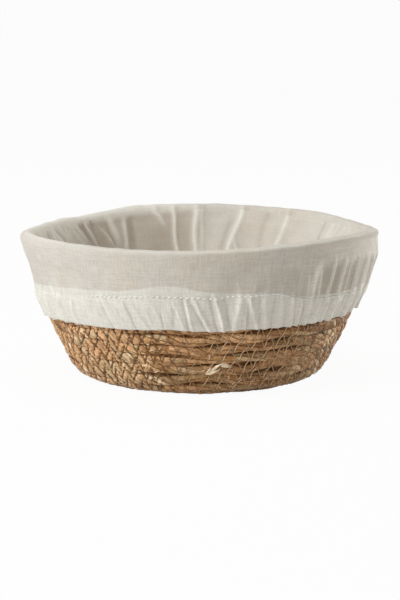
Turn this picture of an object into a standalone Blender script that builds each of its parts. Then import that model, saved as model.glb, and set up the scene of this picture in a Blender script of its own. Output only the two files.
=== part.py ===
"""Coiled seagrass proofing basket with a gathered cloth liner.

One grass rope winds from the middle of the base to the rim, a thread sews each row to the next,
and a cloth liner covers the inside, folds over the rim and grips the outside with an elastic hem.
Metres, +Z up, origin at the middle of the base on the table. Azimuths start at the front (-Y)
and run towards +X.
"""

import math

import bpy
from mathutils import Vector

MM = 0.001

# Driving dimensions of the coiled basket
ROWS = 24
BASE_FLAT_RADIUS = 74.2 * MM
CORNER_RADIUS = 15.0 * MM
WALL_FOOT_ANGLE = math.radians(64.5)
WALL_RIM_ANGLE = math.radians(75.0)
WALL_LENGTH = 90.3 * MM
ROPE_DIAMETER = 6.7 * MM
ROPE_END_SHARE = 0.15

# The rim of the real basket isn't level: (waves round the rim, cosine height, sine height)
RIM_WAVES = ((1, 1.1 * MM, 1.3 * MM), (2, 1.3 * MM, 0.4 * MM), (3, -1.8 * MM, 0.2 * MM))

# Sewing thread
THREAD_DIAMETER = 0.9 * MM
STITCH_REACH = 0.35

# Cloth liner
CLOTH = 0.6 * MM
RIM_SHOULDER = 3.0 * MM
CUFF_DROP = 52.5 * MM
HEM_WIDTH = 26.0 * MM
HEM_TURNING = 31.0 * MM
HEM_SIDE_DROP = 4.8 * MM
FOLDS = 20
CUFF_FOLD_DEPTH = 2.4 * MM
INNER_FOLD_DEPTH = 2.2 * MM
ELASTIC_WIDTH = 5.0 * MM
ELASTIC_THICKNESS = 1.0 * MM
HEM_STITCH_DIAMETER = 0.6 * MM

# Clearances: between pieces that touch, and between the round liner and the rope's flat facets
TOUCH = 0.35 * MM
FACET_ROOM = 1.3 * MM

# Facets and mesh tolerances
CAP_WELD = 0.01 * MM
MITRE_LIMIT = 0.5
FINE_LOOP_POINTS = 24
COARSE_LOOP_POINTS = 12
COARSE_ROWS = 5
CLOTH_SEGMENTS = 3 * FOLDS

# Derived sizes
ROPE_RADIUS = ROPE_DIAMETER / 2
FOOT_CUT = ROPE_DIAMETER / 10
BASE_AXIS_HEIGHT = ROPE_RADIUS - FOOT_CUT
CORNER_LENGTH = CORNER_RADIUS * WALL_FOOT_ANGLE
CORNER_END = BASE_FLAT_RADIUS + CORNER_LENGTH
RIM_ROW = CORNER_END + WALL_LENGTH
FIRST_TURN = 0.5
LAST_TURN = FIRST_TURN + ROWS
PITCH = RIM_ROW / (LAST_TURN - 1)
ROW_GAP = PITCH - ROPE_DIAMETER
WALL_RADIUS = WALL_LENGTH / (WALL_RIM_ANGLE - WALL_FOOT_ANGLE)

THREAD_LAYER = ROPE_RADIUS + TOUCH + THREAD_DIAMETER / 2
HEM_INSIDE = THREAD_LAYER + THREAD_DIAMETER / 2 + TOUCH + CLOTH / 2
ELASTIC_LAYER = HEM_INSIDE + CLOTH / 2 + TOUCH + ELASTIC_THICKNESS / 2
HEM_OUTSIDE = ELASTIC_LAYER + ELASTIC_THICKNESS / 2 + TOUCH + CLOTH / 2
RIM_OUTSIDE = THREAD_LAYER + THREAD_DIAMETER / 2 + TOUCH + CLOTH / 2
LINER_INSIDE = -(THREAD_LAYER + THREAD_DIAMETER / 2 + FACET_ROOM + CLOTH / 2)
RIM_TOP = RIM_ROW + ROPE_RADIUS + ROW_GAP + ROPE_RADIUS * 2 * ROPE_END_SHARE + TOUCH + CLOTH / 2
HEM_ROW = RIM_ROW - CUFF_DROP
BASE_SEWN_TO = BASE_FLAT_RADIUS / PITCH - 1
WALL_SEWN_FROM = math.ceil(CORNER_END / PITCH - 1)


# Shape of the bowl

def meridian(along):
    """Radius, height and slope of the rope's middle line, that far from the axis along the bowl."""
    if along <= BASE_FLAT_RADIUS:
        return along, BASE_AXIS_HEIGHT, 0.0
    if along <= CORNER_END:
        slope = (along - BASE_FLAT_RADIUS) / CORNER_RADIUS
        radius = BASE_FLAT_RADIUS + CORNER_RADIUS * math.sin(slope)
        return radius, BASE_AXIS_HEIGHT + CORNER_RADIUS * (1 - math.cos(slope)), slope
    foot_radius, foot_height, foot_slope = meridian(CORNER_END)
    slope = foot_slope + (along - CORNER_END) / WALL_RADIUS
    radius = foot_radius + WALL_RADIUS * (math.sin(slope) - math.sin(foot_slope))
    return radius, foot_height + WALL_RADIUS * (math.cos(foot_slope) - math.cos(slope)), slope


def rim_sway(azimuth):
    """How far the rim stands above or below its mean height at this azimuth."""
    return sum(
        cosine * math.cos(waves * azimuth) + sine * math.sin(waves * azimuth)
        for waves, cosine, sine in RIM_WAVES
    )


def hem_sway(azimuth):
    """How far the hem rides up at the front and back, and drops at the sides."""
    return HEM_SIDE_DROP * math.cos(2 * azimuth)


def on_bowl(along, out, azimuth):
    """A point on the bowl: along the meridian, and out from the rope's middle line."""
    radius, height, slope = meridian(along)
    radius += out * math.sin(slope)
    height -= out * math.cos(slope)
    climb = max(0.0, along - BASE_FLAT_RADIUS) / (RIM_ROW - BASE_FLAT_RADIUS)
    height += rim_sway(azimuth) * climb
    return Vector((radius * math.sin(azimuth), -radius * math.cos(azimuth), height))


# Making objects

def material(name, colour, roughness):
    made = bpy.data.materials.new(name)
    made.use_nodes = True
    shader = made.node_tree.nodes["Principled BSDF"]
    shader.inputs["Base Color"].default_value = (*colour, 1.0)
    shader.inputs["Roughness"].default_value = roughness
    shader.inputs["Metallic"].default_value = 0.0
    return made


def link(name, data, finish):
    made = bpy.data.objects.new(name, data)
    made.data.materials.append(finish)
    bpy.context.scene.collection.objects.link(made)
    return made


def tube(name, points, diameter, finish, sides=6, shares=None, closed=False):
    """A tube of a few sides along the points, with filled ends. Shares thin it point by point."""
    curve = bpy.data.curves.new(name, "CURVE")
    curve.dimensions = "3D"
    curve.twist_mode = "Z_UP"
    if sides == 3:
        curve.bevel_mode = "OBJECT"
        curve.bevel_object = three_sided_section(name, diameter)
    else:
        curve.bevel_depth = diameter / 2
        curve.bevel_resolution = (sides - 4) // 2
    curve.use_fill_caps = True
    line = curve.splines.new("POLY")
    line.points.add(len(points) - 1)
    line.use_cyclic_u = closed
    for index, (point, place) in enumerate(zip(line.points, points)):
        point.co = (*place, 1.0)
        point.radius = shares[index] if shares else 1.0
    return link(name, curve, finish)


def three_sided_section(name, diameter):
    """The section of a fine thread, a guide that isn't a piece of the object."""
    curve = bpy.data.curves.new(name + "_section", "CURVE")
    curve.dimensions = "2D"
    line = curve.splines.new("POLY")
    line.points.add(2)
    line.use_cyclic_u = True
    for corner, point in enumerate(line.points):
        turn = -math.tau * corner / 3
        point.co = (diameter / 2 * math.cos(turn), diameter / 2 * math.sin(turn), 0.0, 1.0)
    guide = bpy.data.objects.new(name + "_section", curve)
    guide.hide_render = True
    guide.display_type = "WIRE"
    bpy.context.scene.collection.objects.link(guide)
    return guide


def revolved(name, outline, finish, segments):
    """A closed ring: the outline's places at each azimuth, joined round. Outline takes an azimuth."""
    rings = [outline(math.tau * segment / segments) for segment in range(segments)]
    corners = len(rings[0])
    points = [place for ring in rings for place in ring]
    faces = []
    for segment in range(segments):
        here, there = segment * corners, (segment + 1) % segments * corners
        for corner in range(corners):
            after = (corner + 1) % corners
            faces.append((here + corner, here + after, there + after, there + corner))
    mesh = bpy.data.meshes.new(name)
    mesh.from_pydata(points, [], faces)
    mesh.update()
    return link(name, mesh, finish)


def thickened(places, thickness):
    """A closed outline, half the thickness to each side of a line of (along, out) places on the bowl."""
    flat = [Vector(meridian_plane(along, out)) for along, out in places]
    sides = ([], [])
    for index, place in enumerate(flat):
        before = flat[max(index - 1, 0)]
        after = flat[min(index + 1, len(flat) - 1)]
        run_in = (place - before).normalized() if index else (after - place).normalized()
        run_out = (after - place).normalized() if index < len(flat) - 1 else run_in
        run = (run_in + run_out).normalized()
        across = Vector((-run.y, run.x)) * thickness / 2 / max(run.dot(run_in), MITRE_LIMIT)
        sides[0].append(place + across)
        sides[1].append(place - across)
    return sides[0] + sides[1][::-1]


def meridian_plane(along, out):
    radius, height, slope = meridian(along)
    return radius + out * math.sin(slope), height - out * math.cos(slope)


# The coiled basket

def row_place(turn):
    """Distance along the meridian and thickness share of the rope after this many turns.

    The rope thins over its last turn, so that the rim is level where it ends.
    """
    if turn <= LAST_TURN - 1:
        return PITCH * turn, 1.0
    share = 1.0 - (turn - LAST_TURN + 1) * (1.0 - ROPE_END_SHARE)
    return PITCH * (turn - 1) + ROW_GAP + ROPE_RADIUS * (1 + share), share


def rope_turns():
    """The turn of each point of the rope, closer together once the loops are wide."""
    turns = [FIRST_TURN + step / COARSE_LOOP_POINTS for step in range(COARSE_ROWS * COARSE_LOOP_POINTS)]
    fine_from = FIRST_TURN + COARSE_ROWS
    fine_steps = (ROWS - COARSE_ROWS) * FINE_LOOP_POINTS
    turns += [fine_from + step / FINE_LOOP_POINTS for step in range(fine_steps + 1)]
    return turns


def least_gap(turns, points, shares):
    """The least gap between a point of the rope and one from half a turn to one and a half further on."""
    least = math.inf
    for first, (turn, point, share) in enumerate(zip(turns, points, shares)):
        for later in range(first + 1, len(points)):
            if 0.5 <= turns[later] - turn <= 1.5:
                reach = (points[later] - point).length
                least = min(least, reach - ROPE_RADIUS * (share + shares[later]))
    return least


def foot_cutter():
    """A block below the table, which cuts the base flat."""
    side = BASE_FLAT_RADIUS + CORNER_RADIUS
    depth = 4 * ROPE_DIAMETER
    corners = [
        (x * side, y * side, z)
        for z in (-depth, 0.0)
        for x, y in ((-1, -1), (1, -1), (1, 1), (-1, 1))
    ]
    faces = [(3, 2, 1, 0), (4, 5, 6, 7), (0, 1, 5, 4), (1, 2, 6, 5), (2, 3, 7, 6), (3, 0, 4, 7)]
    mesh = bpy.data.meshes.new("foot_cutter")
    mesh.from_pydata(corners, [], faces)
    cutter = bpy.data.objects.new("foot_cutter", mesh)
    cutter.hide_render = True
    cutter.display_type = "WIRE"
    bpy.context.scene.collection.objects.link(cutter)
    return cutter


def seagrass_coil(finish):
    turns = rope_turns()
    places = [row_place(turn) for turn in turns]
    points = [on_bowl(along, 0.0, math.tau * turn) for turn, (along, _) in zip(turns, places)]
    shares = [share for _, share in places]
    print(f"seagrass_coil: least gap between rows {least_gap(turns, points, shares) / MM:.2f} mm")
    rope = tube("rope_line", points, ROPE_DIAMETER, finish, shares=shares)
    graph = bpy.context.evaluated_depsgraph_get()
    mesh = bpy.data.meshes.new_from_object(rope.evaluated_get(graph))
    bpy.data.objects.remove(rope)
    coil = bpy.data.objects.new("seagrass_coil", mesh)
    bpy.context.scene.collection.objects.link(coil)
    weld = coil.modifiers.new("weld_caps", "WELD")
    weld.merge_threshold = CAP_WELD
    cut = coil.modifiers.new("flat_foot", "BOOLEAN")
    cut.operation = "DIFFERENCE"
    cut.object = foot_cutter()
    return coil


def zigzag(name, first_turn, last_turn, out, finish):
    """The sewing thread: it steps from one row to the next and back, all round the bowl."""
    points = []
    turn = first_turn
    upper = False
    while turn <= last_turn:
        lower_row, upper_row = row_place(turn)[0], row_place(turn + 1)[0]
        reach = STITCH_REACH * (upper_row - lower_row)
        middle = (lower_row + upper_row) / 2
        along = middle + reach if upper else middle - reach
        points.append(on_bowl(along, out, math.tau * turn))
        coarse = turn < FIRST_TURN + COARSE_ROWS
        turn += 1 / (COARSE_LOOP_POINTS if coarse else FINE_LOOP_POINTS)
        upper = not upper
    return tube(name, points, THREAD_DIAMETER, finish, sides=3)


# The liner

def cuff_fold(azimuth, along):
    """How far a gathered fold stands out of the cuff: nothing at the rim, most at the hem."""
    share = min(1.0, max(0.0, (RIM_ROW - along) / CUFF_DROP))
    return CUFF_FOLD_DEPTH * share * (0.5 + 0.5 * math.cos(FOLDS * azimuth))


def inner_fold(azimuth, along):
    """How far a fold of the lining stands into the bowl: most half way up the wall."""
    share = max(0.0, math.sin(math.pi * (along - CORNER_END) / WALL_LENGTH))
    return INNER_FOLD_DEPTH * share * (0.5 + 0.5 * math.cos(FOLDS * azimuth))


def cloth_line(azimuth):
    """(along, out) places of the side panel's cloth, from the floor seam to the end of the hem turning."""
    hem = HEM_ROW + hem_sway(azimuth)
    shoulder = RIM_ROW + RIM_SHOULDER
    inside = [BASE_FLAT_RADIUS - CLOTH, CORNER_END, CORNER_END + WALL_LENGTH / 2, shoulder]
    line = [(along, LINER_INSIDE - inner_fold(azimuth, along)) for along in inside]
    line.append((RIM_TOP, 0.0))
    line.append((shoulder, RIM_OUTSIDE))
    stitch = hem + HEM_WIDTH
    line.append((stitch, HEM_OUTSIDE + cuff_fold(azimuth, stitch)))
    line.append((hem, HEM_OUTSIDE + cuff_fold(azimuth, hem)))
    line.append((hem, HEM_INSIDE))
    line.append((hem + HEM_TURNING, HEM_INSIDE))
    return line


def swayed(flat, along, azimuth):
    """A place in the meridian plane, turned to its azimuth and lifted by the rim's sway."""
    climb = max(0.0, along - BASE_FLAT_RADIUS) / (RIM_ROW - BASE_FLAT_RADIUS)
    height = flat.y + rim_sway(azimuth) * climb
    return Vector((flat.x * math.sin(azimuth), -flat.x * math.cos(azimuth), height))


def liner_side_panel(finish):
    def outline(azimuth):
        line = cloth_line(azimuth)
        alongs = [along for along, _ in line]
        ring = thickened(line, CLOTH)
        return [swayed(flat, along, azimuth) for flat, along in zip(ring, alongs + alongs[::-1])]

    return revolved("liner_side_panel", outline, finish, CLOTH_SEGMENTS)


def liner_floor_panel(finish):
    """A round of cloth that lies on the base, inside the side panel's seam."""
    low = BASE_AXIS_HEIGHT - LINER_INSIDE - CLOTH / 2
    edge = BASE_FLAT_RADIUS - CLOTH - TOUCH - CLOTH

    def ring(height):
        turns = [math.tau * segment / CLOTH_SEGMENTS for segment in range(CLOTH_SEGMENTS)]
        return [(edge * math.sin(turn), -edge * math.cos(turn), height) for turn in turns]

    points = ring(low) + ring(low + CLOTH)
    count = CLOTH_SEGMENTS
    faces = [tuple(reversed(range(count))), tuple(range(count, 2 * count))]
    faces += [(i, (i + 1) % count, count + (i + 1) % count, count + i) for i in range(count)]
    mesh = bpy.data.meshes.new("liner_floor_panel")
    mesh.from_pydata(points, [], faces)
    mesh.update()
    return link("liner_floor_panel", mesh, finish)


def hem_elastic(finish):
    """A flat elastic band, inside the turned hem, just above its lower fold."""
    def outline(azimuth):
        low = HEM_ROW + hem_sway(azimuth) + CLOTH + TOUCH
        line = [(low, ELASTIC_LAYER), (low + ELASTIC_WIDTH, ELASTIC_LAYER)]
        alongs = [along for along, _ in line]
        ring = thickened(line, ELASTIC_THICKNESS)
        return [swayed(flat, along, azimuth) for flat, along in zip(ring, alongs + alongs[::-1])]

    return revolved("hem_elastic", outline, finish, CLOTH_SEGMENTS)


def hem_thread(finish):
    """The line of stitches that holds the hem's turning, on the face of the cuff."""
    points = []
    for segment in range(CLOTH_SEGMENTS):
        azimuth = math.tau * segment / CLOTH_SEGMENTS
        along = HEM_ROW + hem_sway(azimuth) + HEM_WIDTH
        face = HEM_OUTSIDE + cuff_fold(azimuth, along) + CLOTH / 2
        points.append(on_bowl(along, face + TOUCH + HEM_STITCH_DIAMETER / 2, azimuth))
    return tube("hem_thread", points, HEM_STITCH_DIAMETER, finish, sides=3, closed=True)


def floor_seam_thread(finish):
    """The line of stitches that joins the floor panel to the side panel."""
    edge = BASE_FLAT_RADIUS - CLOTH - TOUCH / 2 - CLOTH / 2
    height = BASE_AXIS_HEIGHT - LINER_INSIDE + CLOTH / 2 + TOUCH + HEM_STITCH_DIAMETER / 2
    points = []
    for segment in range(CLOTH_SEGMENTS):
        azimuth = math.tau * segment / CLOTH_SEGMENTS
        points.append(Vector((edge * math.sin(azimuth), -edge * math.cos(azimuth), height)))
    return tube("floor_seam_thread", points, HEM_STITCH_DIAMETER, finish, sides=3, closed=True)


def main():
    for old in list(bpy.data.objects):
        bpy.data.objects.remove(old)
    seagrass = material("seagrass", (0.33, 0.20, 0.10), 0.75)
    twine = material("sewing_thread", (0.35, 0.24, 0.16), 0.7)
    linen = material("linen", (0.62, 0.58, 0.51), 0.9)
    white_thread = material("white_thread", (0.80, 0.78, 0.74), 0.8)
    rubber = material("elastic", (0.75, 0.74, 0.72), 0.8)

    seagrass_coil(seagrass)
    zigzag("base_thread", 1, BASE_SEWN_TO, -THREAD_LAYER, twine)
    zigzag("wall_thread", WALL_SEWN_FROM, LAST_TURN - 2, THREAD_LAYER, twine)
    liner_floor_panel(linen)
    liner_side_panel(linen)
    hem_elastic(rubber)
    hem_thread(white_thread)
    floor_seam_thread(white_thread)


main()
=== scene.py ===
"""Looks of a coiled seagrass proofing basket with a gathered cloth liner.

Every piece is in metres, in the frame of the solids: +Z up, the middle of the base at the origin.
Azimuths start at the front (-Y) and run towards +X. A place on the bowl is given by its distance
along the meridian from the axis, and by how far out it stands from the middle line of the rope.
"""

import math
from contextlib import contextmanager
from functools import partial

import bmesh
import bpy
import numpy as np
from bpy.props import FloatProperty, FloatVectorProperty, IntProperty, PointerProperty
from bpy.types import Operator, Panel, PropertyGroup
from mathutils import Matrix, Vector


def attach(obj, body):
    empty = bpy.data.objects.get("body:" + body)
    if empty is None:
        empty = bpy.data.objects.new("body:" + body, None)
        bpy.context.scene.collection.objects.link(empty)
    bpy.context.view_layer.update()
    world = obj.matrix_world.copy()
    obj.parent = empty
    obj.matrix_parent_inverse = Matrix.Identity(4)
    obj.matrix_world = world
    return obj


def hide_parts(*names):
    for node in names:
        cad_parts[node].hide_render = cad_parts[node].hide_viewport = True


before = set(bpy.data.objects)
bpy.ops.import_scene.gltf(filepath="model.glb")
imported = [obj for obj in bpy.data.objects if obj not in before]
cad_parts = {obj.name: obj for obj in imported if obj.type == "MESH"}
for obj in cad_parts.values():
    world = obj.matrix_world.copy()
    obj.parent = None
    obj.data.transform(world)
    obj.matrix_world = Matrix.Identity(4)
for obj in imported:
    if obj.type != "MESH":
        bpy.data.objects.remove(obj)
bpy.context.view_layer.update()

bl_info = {
    "name": "Proofing basket",
    "version": (1, 0, 0),
    "blender": (4, 5, 0),
    "location": "3D View > Sidebar > Basket",
    "description": "Models a coiled seagrass basket, its sewing and its gathered cloth liner",
    "category": "Object",
}

MM = 0.001

# How near the edges of a bent grid lie where they are joined
SEAM_REACH = 0.001 * MM

# A random wave: how many sines it has, and what their sum is divided by
WAVER_SINES = 6
WAVER_SPREAD = 2.4

# Azimuths of the sides, in degrees
RIGHT, LEFT = 90.0, -90.0

# The bowl, as the solids have it
ROWS = 24
BASE_FLAT_RADIUS = 74.2 * MM
CORNER_RADIUS = 15.0 * MM
WALL_FOOT_ANGLE = math.radians(64.5)
WALL_RIM_ANGLE = math.radians(75.0)
WALL_LENGTH = 90.3 * MM
ROPE_DIAMETER = 6.7 * MM
ROPE_END_SHARE = 0.15
SECTION_POWER = 0.66
LOOSE_SECTION_POWER = 0.85
BASE_AXIS_HEIGHT = 0.4 * ROPE_DIAMETER
# Waves of the rim's height round the basket: their number, cosine and sine
RIM_WAVES = ((1, 1.1 * MM, 1.3 * MM), (2, 1.3 * MM, 0.4 * MM), (3, -1.8 * MM, 0.2 * MM))
CORNER_LENGTH = CORNER_RADIUS * WALL_FOOT_ANGLE
CORNER_END = BASE_FLAT_RADIUS + CORNER_LENGTH
RIM_ROW = CORNER_END + WALL_LENGTH
WALL_RADIUS = WALL_LENGTH / (WALL_RIM_ANGLE - WALL_FOOT_ANGLE)
FIRST_TURN = 0.5
LAST_TURN = FIRST_TURN + ROWS
PITCH = RIM_ROW / (LAST_TURN - 1)

# The grass: how long one leaf keeps its tone, and how far apart the knobs of hard twisted rope are
LEAF_LENGTH = 45.0 * MM
KNOB_LENGTH = 9.0 * MM

# The liner's cut, from the floor seam over the rim to the end of the hem's turning
LINING_DEPTH = 5.2 * MM
RIM_LINING_DEPTH = 4.5 * MM
RIM_SHOULDER = 1.0 * MM
RIM_RISE = 4.1 * MM
CUFF_STAND = 4.7 * MM
HEM_STAND = 1.0 * MM
HEM_TUCK = 0.3 * MM
TURNING_STAND = 4.1 * MM
HEM_FOLD = 0.7 * MM
LEFT_WAIST = 0.8 * MM
HEM_DENT = 1.0 * MM
ELASTIC_WIDTH = 5.0 * MM
ELASTIC_THICKNESS = 0.5 * MM
LINING_ROWS, RIM_ROWS, CUFF_ROWS, FOLD_ROWS, TURNING_ROWS = 30, 10, 40, 5, 4
LINER_ROWS = LINING_ROWS + RIM_ROWS + CUFF_ROWS + FOLD_ROWS + TURNING_ROWS
LINER_COLUMNS = 1100
LINER_RADIUS = 118.0 * MM
FLOOR_EDGE = BASE_FLAT_RADIUS - 0.6 * MM
FLOOR_HEIGHT = BASE_AXIS_HEIGHT + LINING_DEPTH
YARN_PAIR = 0.62 * MM

# How far below the rim the hem ends and is stitched, and where the raw edge of its turning lies behind
# the cloth: azimuths in degrees, then millimetres
HEM_EDGE = (
    (-120, 53.5), (-85, 53.4), (-73, 53.2), (-61, 51.4), (-50, 50.4), (-37, 49.9), (-24, 49.1),
    (-10, 47.5), (0, 48.6), (6, 49.2), (14, 48.5), (22, 49.1), (30, 49.8), (46, 49.9), (56, 50.3),
    (63, 50.2), (77, 47.6), (100, 46.8), (140, 49.5), (180, 53.0))
STITCH_ROW = (
    (-110, 32.0), (-75, 32.0), (-50, 30.4), (-34, 27.5), (-24, 26.1), (-16, 24.5), (-8, 24.6),
    (0, 25.1), (4, 25.9), (8, 25.5), (10, 24.7), (14, 25.1), (22, 24.9), (26, 25.6), (30.5, 28.1),
    (34, 30.5), (38, 31.7), (46, 32.3), (54, 32.5), (61, 33.0), (90, 32.5), (130, 31.0), (180, 31.0))
TURNING_EDGE = (
    (-110, 30.0), (-77, 29.5), (-48, 24.9), (-36, 23.6), (-26, 22.2), (-19, 19.7), (-13, 17.3),
    (-8, 17.2), (-4, 18.1), (-0.5, 20.2), (4, 21.7), (11, 23.0), (21, 23.9), (26, 24.7), (33, 29.0),
    (46, 30.1), (52, 30.8), (60, 30.4), (75, 28.5), (100, 28.0), (180, 27.0))

# How far the hem's gathers lean to the right on their way down: azimuths in degrees, then slopes
GATHER_LEAN = (
    (-120, 0.10), (-75, 0.15), (-45, 0.35), (-25, 0.50), (-5, 0.42), (6, 0.30), (15, 0.15), (30, 0.10),
    (45, 0.0), (60, 0.0), (90, 0.0), (180, 0.0))

# The larger folds of the hem, of the cuff and of the lining: azimuth in degrees, lean, width and height in
# millimetres, and the first and last millimetre below the rim; a negative height is a valley
HEM_PUFFS = (
    (-31.6, 0.44, 1.0, -0.7, 28, 62), (-31.1, 0.50, 0.9, -0.5, 22, 40),
    (-22.2, 0.29, 1.0, -0.8, 28, 62), (-18.9, 0.59, 0.8, 0.7, 22, 62), (-11.6, 0.15, 0.8, -0.6, 34, 62),
    (-8.0, -0.06, 1.8, -0.6, 27, 44), (-5.6, 0.30, 1.1, 0.75, 26, 62), (-3.9, 0.24, 1.2, -0.7, 22, 62),
    (-2.5, 0.20, 1.2, 0.8, 23, 62), (0.6, 0.58, 1.0, -0.7, 24, 60), (2.2, 0.44, 1.2, 1.0, 24, 62),
    (5.4, 0.26, 1.0, -0.7, 22, 62), (7.2, 0.26, 1.3, 1.6, 22, 62), (9.9, 0.20, 1.0, -0.6, 24, 62),
    (12.5, -0.06, 2.0, 1.3, 22, 62), (15.8, 0.24, 0.8, 0.9, 36, 62), (16.2, 0.10, 0.8, -0.6, 26, 56),
    (18.5, 0.30, 1.6, 1.5, 22, 62), (20.5, 0.15, 0.9, -0.6, 24, 62), (22.2, 0.05, 2.4, 1.4, 22, 62),
    (25.0, 0.05, 0.8, -0.6, 25, 62), (27.3, 0.0, 2.0, 0.9, 24, 62), (30.0, 0.10, 0.9, -0.5, 26, 62),
    (32.1, 0.18, 1.4, 1.6, 24, 62), (33.6, 0.18, 0.8, -0.7, 24, 62), (35.3, 0.10, 1.1, 1.6, 28, 62),
    (36.9, 0.05, 0.9, -0.7, 28, 62), (38.8, 0.05, 1.2, 1.7, 28, 62), (40.6, 0.05, 0.7, -0.7, 30, 62),
    (42.1, 0.05, 1.2, 1.7, 28, 62), (44.4, 0.0, 1.0, -0.7, 30, 62), (46.8, 0.05, 1.3, 1.7, 30, 62),
    (48.8, 0.0, 1.0, -0.7, 30, 62), (50.7, 0.0, 0.9, 1.0, 30, 62), (52.8, 0.0, 1.2, 1.5, 30, 62),
    (54.9, 0.0, 0.8, -0.7, 32, 62), (57.3, 0.0, 1.2, -0.7, 30, 62), (62.9, 0.0, 1.8, 1.6, 30, 62))
CUFF_PLEATS = (
    (-58, 0.25, 1.6, 0.4, 3, 62), (12.3, 0.1, 1.8, 0.35, 12, 24), (17.2, 0.0, 1.5, 0.3, 14, 24),
    (21.5, 0.0, 2.2, 0.45, 10, 26), (27, 0.05, 1.4, 0.25, 14, 26), (33, 0.0, 1.6, 0.3, 3, 40),
    (38.6, 0.03, 2.4, 1.3, 4, 24), (37.3, 0.16, 0.9, 0.9, 10, 62), (38.9, 0.15, 0.9, 0.9, 10, 40),
    (42.0, 0.18, 1.0, 1.1, 8, 62), (45.0, -0.07, 1.0, 2.1, 5, 62), (50.8, 0.02, 1.3, 2.0, 5, 62),
    (54.4, 0.10, 0.8, 0.6, 10, 40), (60.0, 0.12, 1.0, 2.1, 5, 62), (66.2, 0.18, 1.1, 1.8, 5, 50),
    (73.5, 0.25, 1.0, 1.8, 5, 50), (80.5, 0.25, 1.0, 1.4, 4, 50), (88, 0.20, 1.0, 0.9, 4, 62),
    (96, 0.10, 1.1, 0.6, 4, 62))
LINING_FOLDS = (
    (181.3, 0.03, 2.6, 1.5, -9, 78), (178.8, 0.03, 1.5, 0.5, -6, 60), (189.0, -0.06, 2.0, 1.2, -9, 70),
    (196.9, -0.60, 2.4, 1.0, -6, 8), (206.3, 0.05, 2.8, -0.8, 0, 25), (210.6, 0.16, 2.2, 1.0, 0, 40),
    (215.0, -0.10, 3.5, 1.0, -4, 20), (217.2, -0.26, 1.0, -1.0, 2, 20), (219.6, -0.67, 1.2, 1.2, 4, 22),
    (225.0, -0.28, 1.4, -1.2, -3, 10), (226.9, -0.35, 1.3, 1.2, -2, 20),
    (229.0, -0.30, 1.4, -1.2, -3, 10), (240.1, -0.38, 1.8, -1.2, -4, 14),
    (168.2, 0.30, 2.3, 1.6, -9, 84), (163.5, -0.40, 1.2, 1.0, 18, 50), (168.5, 0.20, 3.0, -1.0, 4, 40),
    (147.6, 0.26, 2.0, 1.3, -9, 72), (154.4, 0.22, 2.5, -0.7, -4, 50),
    (126.0, 0.05, 1.0, -0.8, -10, 20), (121.5, 0.10, 2.0, 0.8, -6, 30), (116.5, 0.7, 1.5, 0.6, -10, 10),
    (112.0, 0.7, 1.5, 0.5, -10, 10), (107.0, 0.7, 1.5, 0.6, -10, 8), (102.0, 0.7, 1.5, 0.5, -10, 8),
    (97.0, 0.7, 1.5, 0.6, -10, 8))

# Where the grass is bleached: azimuth in degrees, millimetres above the base, reach in degrees and in
# millimetres, and how pale it is there
BLEACHED_SPOTS = (
    (-34.0, 21.5, 20.0, 8.5, 0.65), (-26.0, 27.5, 8.0, 6.0, 0.4), (-5.0, 25.0, 6.0, 4.0, 0.9),
    (36.0, 22.0, 7.0, 5.0, 0.5), (46.0, 27.5, 5.0, 4.5, 0.75), (62.0, 39.0, 5.0, 5.0, 1.0),
    (61.0, 29.0, 4.0, 4.0, 0.5), (50.0, 18.0, 14.0, 5.0, 0.5))

# Where the turn over the rim stands higher: azimuth in degrees, width in radians and height in millimetres
RIM_PUFFS = (
    (132.0, 0.32, 2.3), (200.0, 0.20, 0.9), (206.5, 0.10, 0.8), (217.0, 0.33, 0.8), (237.0, 0.09, 0.8),
    (246.0, 0.20, 0.9), (280.0, 0.25, 1.0))


# Settings

def length_property(name, description, millimetres):
    """A size, from its default in millimetres."""
    return FloatProperty(name=name, description=description, default=millimetres * MM, unit="LENGTH")


def colour_property(name, description, *default):
    """A colour, from its default red, green and blue."""
    return FloatVectorProperty(name=name, description=description, default=default, subtype="COLOR")


class BasketSizes(PropertyGroup):
    """Sizes of the rope and its sewing."""

    rope_thickness: length_property("Rope thickness", "Thickness of the rope through the wall", 7.0)
    leaf_relief: length_property("Leaf relief", "How far each grass leaf stands out of the rope", 0.6)
    leaves: IntProperty(
        name="Leaves", description="Grass leaves side by side round the rope", default=6, min=3, max=12)
    tight_lay: length_property(
        "Tight lay", "Rope length of one twist where the rope is twisted hard", 30.0)
    loose_lay: length_property(
        "Loose lay", "Rope length of one twist where the rope is hardly twisted", 170.0)
    stitch_length: length_property(
        "Stitch length", "Length along the rope of one zigzag of the sewing thread", 9.4)
    stitch_pull: length_property("Stitch pull", "How far the sewing thread pulls into the rope", 0.95)
    thread_thickness: length_property("Thread thickness", "Thickness of the sewing thread", 0.62)
    stray_fibres: IntProperty(
        name="Stray fibres", description="Loose ends of grass on the outside", default=90, min=0)


class LinerSizes(PropertyGroup):
    """Sizes of the cloth liner."""

    gathers: IntProperty(
        name="Gathers", description="Small folds round the elastic hem", default=150, min=8)
    gather_height: length_property("Gather height", "How far the hem's small folds stand out", 1.35)
    stitch_length: length_property("Hem stitch length", "Length of one visible stitch of the hem", 2.0)
    stitch_gap: length_property("Hem stitch gap", "Gap between two stitches of the hem", 1.8)
    stitch_thickness: length_property("Hem stitch thickness", "Thickness of the hem's thread", 0.92)


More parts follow.
